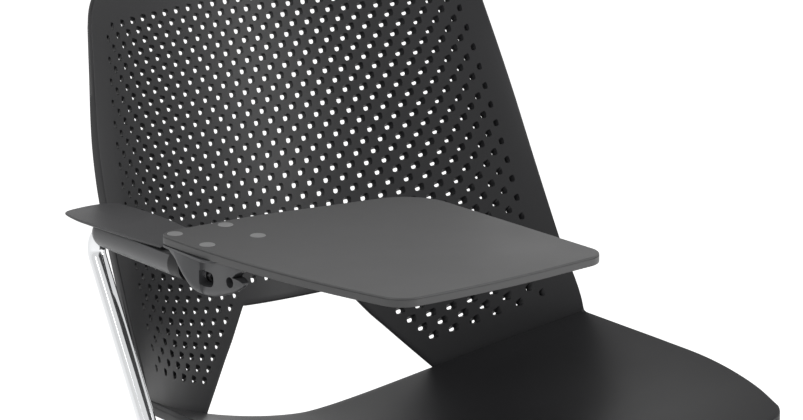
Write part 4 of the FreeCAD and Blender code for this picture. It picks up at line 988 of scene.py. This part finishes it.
pad_outline = [(arm_line + across, along) for across, along in smooth_line(pad_points, pad_steps)]
pad_layers = (
    (0.0045, 0.0), (0.0006, 0.0022), (0.0, 0.0028), (0.0, 0.0032), (0.0004, 0.0037), (0.0012, pad_height),
    (0.0018, pad_height),
)
pad_rings = [inset_ring(pad_outline, inset, pad_low + rise) for inset, rise in pad_layers]
pad_piece = skin("arm_pad_leaf", pad_rings)
pad_piece.data.materials.append(pad_grain)
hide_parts("arm_pad")
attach(pad_piece, "chair")
paint_node("arm_pad_studs", pad_grain)

# Hinge
# A turned steel spindle, an acetal collar, a spring washer and a nut.
turned_steel = finish_material(
    "turned_steel", (0.35, 0.35, 0.36), (0.52, 0.52, 0.53), 0.2, 0.32, 1.0, 0.00001,
    cloud_scale=60.0, speck_scale=2400.0,
)
collar_acetal = finish_material(
    "collar_acetal", (0.012, 0.012, 0.013), (0.022, 0.022, 0.023), 0.35, 0.5, 0.0, 0.00001,
    specular=0.15, cloud_scale=30.0, speck_scale=1800.0,
)
paint_node("hinge_spindle", turned_steel)
paint_node("stop_pin", turned_steel)
# The spring washer and the nut take the black steel so that the pocket in the keel shows dark round them:
# their dark colour is partly painted shade of that recess.
paint_node("spring_washer", black_steel)
paint_node("spindle_nut", black_steel)
paint_node("hinge_bush", collar_acetal)

# Keel bracket
# A die casting with a satin grey-black coating, screwed under the tablet. Its stern is a hood round the
# collar, its web has the pocket for the nut, and a slot at the bow leaves a beak.
keel_rear = -0.091
keel_length = 0.0975
keel_top = 0.665
keel_depths = (
    (0.0, 0.002), (0.04, 0.0087), (0.08, 0.0139), (0.12, 0.0172), (0.16, 0.0214), (0.2, 0.0254),
    (0.25, 0.0299), (0.3, 0.0338), (0.35, 0.0357), (0.4, 0.036), (0.45, 0.0358), (0.55, 0.0345),
    (0.7, 0.0299), (0.85, 0.0243), (0.94, 0.0194), (0.98, 0.0168), (1.0, 0.0148),
)
keel_widths = (
    (0.0, 0.0159), (0.14, 0.0158), (0.24, 0.0149), (0.33, 0.0126), (0.4, 0.0101), (0.428, 0.0089),
    (0.434, 0.0068), (0.5, 0.0066), (0.76, 0.0061), (0.91, 0.0047), (1.0, 0.0032),
)
keel_coating = finish_material(
    "keel_coating", (0.045, 0.046, 0.049), (0.07, 0.071, 0.075), 0.35, 0.48, 0.0, 0.00003,
    cloud_scale=25.0, speck_scale=1500.0,
)


def keel_ring(along):
    """The keel's cross-section at a share of its length: upright sides and a round belly."""
    depth = smooth_value(*zip(*keel_depths), along)
    width = smooth_value(*zip(*keel_widths), along)
    belly = min(width, depth)
    reach = keel_rear - along * keel_length
    side = [(width * step / 8, 0.0) for step in range(9)]
    side += [(width, (depth - belly) * step / 8) for step in range(1, 9)]
    for step in range(1, 11):
        angle = math.pi / 20 * step
        side.append((width * math.cos(angle), depth - belly + belly * math.sin(angle)))
    ring = [(arm_line + across, reach, keel_top - down) for across, down in side]
    ring += [(arm_line - across, reach, keel_top - down) for across, down in reversed(side[1:-1])]
    return ring


def make_carving_tree():
    """Cuts the tool object from the mesh."""
    tree, given, result = geometry_group(
        "carving", (("Tool", "NodeSocketObject"), ("Material", "NodeSocketMaterial"))
    )
    tool = tree.nodes.new("GeometryNodeObjectInfo")
    tree.links.new(given.outputs["Tool"], tool.inputs["Object"])
    cut_and_paint(tree, given, tool.outputs["Geometry"], result)
    return tree


carving_tree = make_carving_tree()


def carve(piece, tools, material):
    """Cut each tool from a piece and take the tools away."""
    for tool in tools:
        made = grow(piece, carving_tree, tool=tool, material=material)
        piece.data = made
        bpy.data.objects.remove(tool)
    piece.data.shade_smooth()
    piece.data.set_sharp_from_angle(angle=math.radians(32))


def rod(name, radius, start, end, sides=48):
    """A round bar between two places."""
    return skin(name, swept_rings([Vector(start), Vector(end)], radius, sides))


def on_hinge(reach):
    return (arm_line, reach, hinge_level)


def side_prism(name, outline, left, right):
    """A prism across the chair whose outline is given in lengths from the keel's rear and in depths."""
    rings = []
    for across in (left, right):
        rings.append([(across, keel_rear - along, keel_top - down) for along, down in outline])
    return skin(name, rings)


keel_stations = {item[0] for item in keel_depths + keel_widths}
keel_stations = sorted(keel_stations | {number / 48 for number in range(49)})
keel_piece = skin("keel_casting", [keel_ring(along) for along in keel_stations])
hood_bore_radius = 0.0141
lug_bore_radius = 0.0103
spindle_bore_radius = 0.00505
nut_room_radius = 0.0061
notch_radius = 0.0046
cut_half_width = 0.02
pocket_floor = arm_line + 0.0059
notch_start = (arm_line - 0.0175, -0.1728, 0.65)
notch_end = (arm_line + 0.001, -0.1728, 0.65)
slot_outline = (
    (0.103, 0.0012), (0.0975, 0.0027), (0.0926, 0.0046), (0.0882, 0.0072), (0.0846, 0.0108),
    (0.0882, 0.0106), (0.0926, 0.0112), (0.0975, 0.0128), (0.103, 0.015),
)
pocket_corners = ((0.0412, 0.0127), (0.0588, 0.0127), (0.0588, 0.0245), (0.0412, 0.0272))
pocket_outline = closed_outline(pocket_corners, (0.001, 0.0045, 0.0055, 0.003), 6)
keel_tools = [
    rod("hood_bore", hood_bore_radius, on_hinge(-0.05), on_hinge(-0.1067)),
    rod("lug_bore", lug_bore_radius, on_hinge(-0.09), on_hinge(-0.1127)),
    rod("spindle_bore", spindle_bore_radius, on_hinge(-0.1), on_hinge(-0.14)),
    rod("nut_room", nut_room_radius, on_hinge(-0.1326), on_hinge(-0.1412)),
    side_prism("pocket", pocket_outline, arm_line - cut_half_width, pocket_floor),
    side_prism("beak_slot", slot_outline, arm_line - cut_half_width, arm_line + cut_half_width),
    rod("notch", notch_radius, notch_start, notch_end, 32),
]
carve(keel_piece, keel_tools, keel_coating)
flange_left = arm_line - 0.0159
flange_right = arm_line + 0.0641
flange_bend = 0.012
flange_corners = [(flange_left, -0.079), (flange_right, -0.079)]
flange_corners += [(flange_right, -0.155), (flange_left, -0.155)]
flange_outline = closed_outline(flange_corners, [flange_bend] * 4, 8)
flange_layers = ((0.0006, 0.6625), (0.0, 0.6631), (0.0, 0.6649))
flange_piece = skin("keel_flange", [inset_ring(flange_outline, *layer) for layer in flange_layers])
flange_piece.data.materials.append(keel_coating)
for piece in (keel_piece, flange_piece):
    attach(piece, "tablet")
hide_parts("keel_bracket")
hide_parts("keel_bracket")

# Writing tablet
# A moulded board with a fine texture, seven soft corners and a round top edge over a fine groove. Four
# screws in stepped holes hold it on the flange of the keel, and a cap closes each hole.
board_corners = (
    (-0.2779, -0.076), (-0.1779, -0.076), (-0.0195, -0.095), (-0.0075, -0.3477), (-0.1302, -0.3645),
    (-0.2306, -0.3645), (-0.2732, -0.22025),
)
board_bends = (0.015, 0.2, 0.046, 0.022, 0.889, 0.024, 0.944)
board_layers = (
    (0.002, 0.665), (0.0012, 0.665), (0.0005, 0.6652), (0.0001, 0.6656), (0.0, 0.6662), (0.0, 0.6713),
    (0.0005, 0.6714), (0.0005, 0.6718), (0.0001, 0.6719), (0.0003, 0.6724), (0.0007, 0.6728), (0.0013, 0.673),
    (0.0019, 0.673),
)
cap_sink_radius = 0.0068
cap_sink_floor = 0.67
screw_hole_radius = 0.0046
cap_places = ((-0.2662, -0.088), (-0.2156, -0.088), (-0.2632, -0.133), (-0.2126, -0.133))
tablet_plastic = finish_material(
    "tablet_plastic", (0.058, 0.058, 0.059), (0.085, 0.085, 0.086), 0.42, 0.55, 0.0, 0.00003,
    cloud_scale=10.0, speck_scale=1400.0,
)
cap_plastic = finish_material(
    "cap_plastic", (0.28, 0.28, 0.282), (0.37, 0.37, 0.372), 0.4, 0.5, 0.0, 0.00001,
    cloud_scale=80.0, speck_scale=1800.0,
)
board_outline = closed_outline(board_corners, board_bends, 20)
board_piece = skin("tablet_board_moulding", [inset_ring(board_outline, *layer) for layer in board_layers])
board_tools = []
for x, y in cap_places:
    sink_start = (x, y, cap_sink_floor)
    board_tools.append(rod("cap_sink", cap_sink_radius, sink_start, (x, y, 0.68)))
    hole_end = (x, y, cap_sink_floor + 0.0005)
    board_tools.append(rod("screw_hole", screw_hole_radius, (x, y, 0.66), hole_end, 32))
carve(board_piece, board_tools, tablet_plastic)
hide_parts("tablet_board")
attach(board_piece, "tablet")
paint_node("tablet_screws", zinc_plate)
paint_node("tablet_caps", cap_plastic)
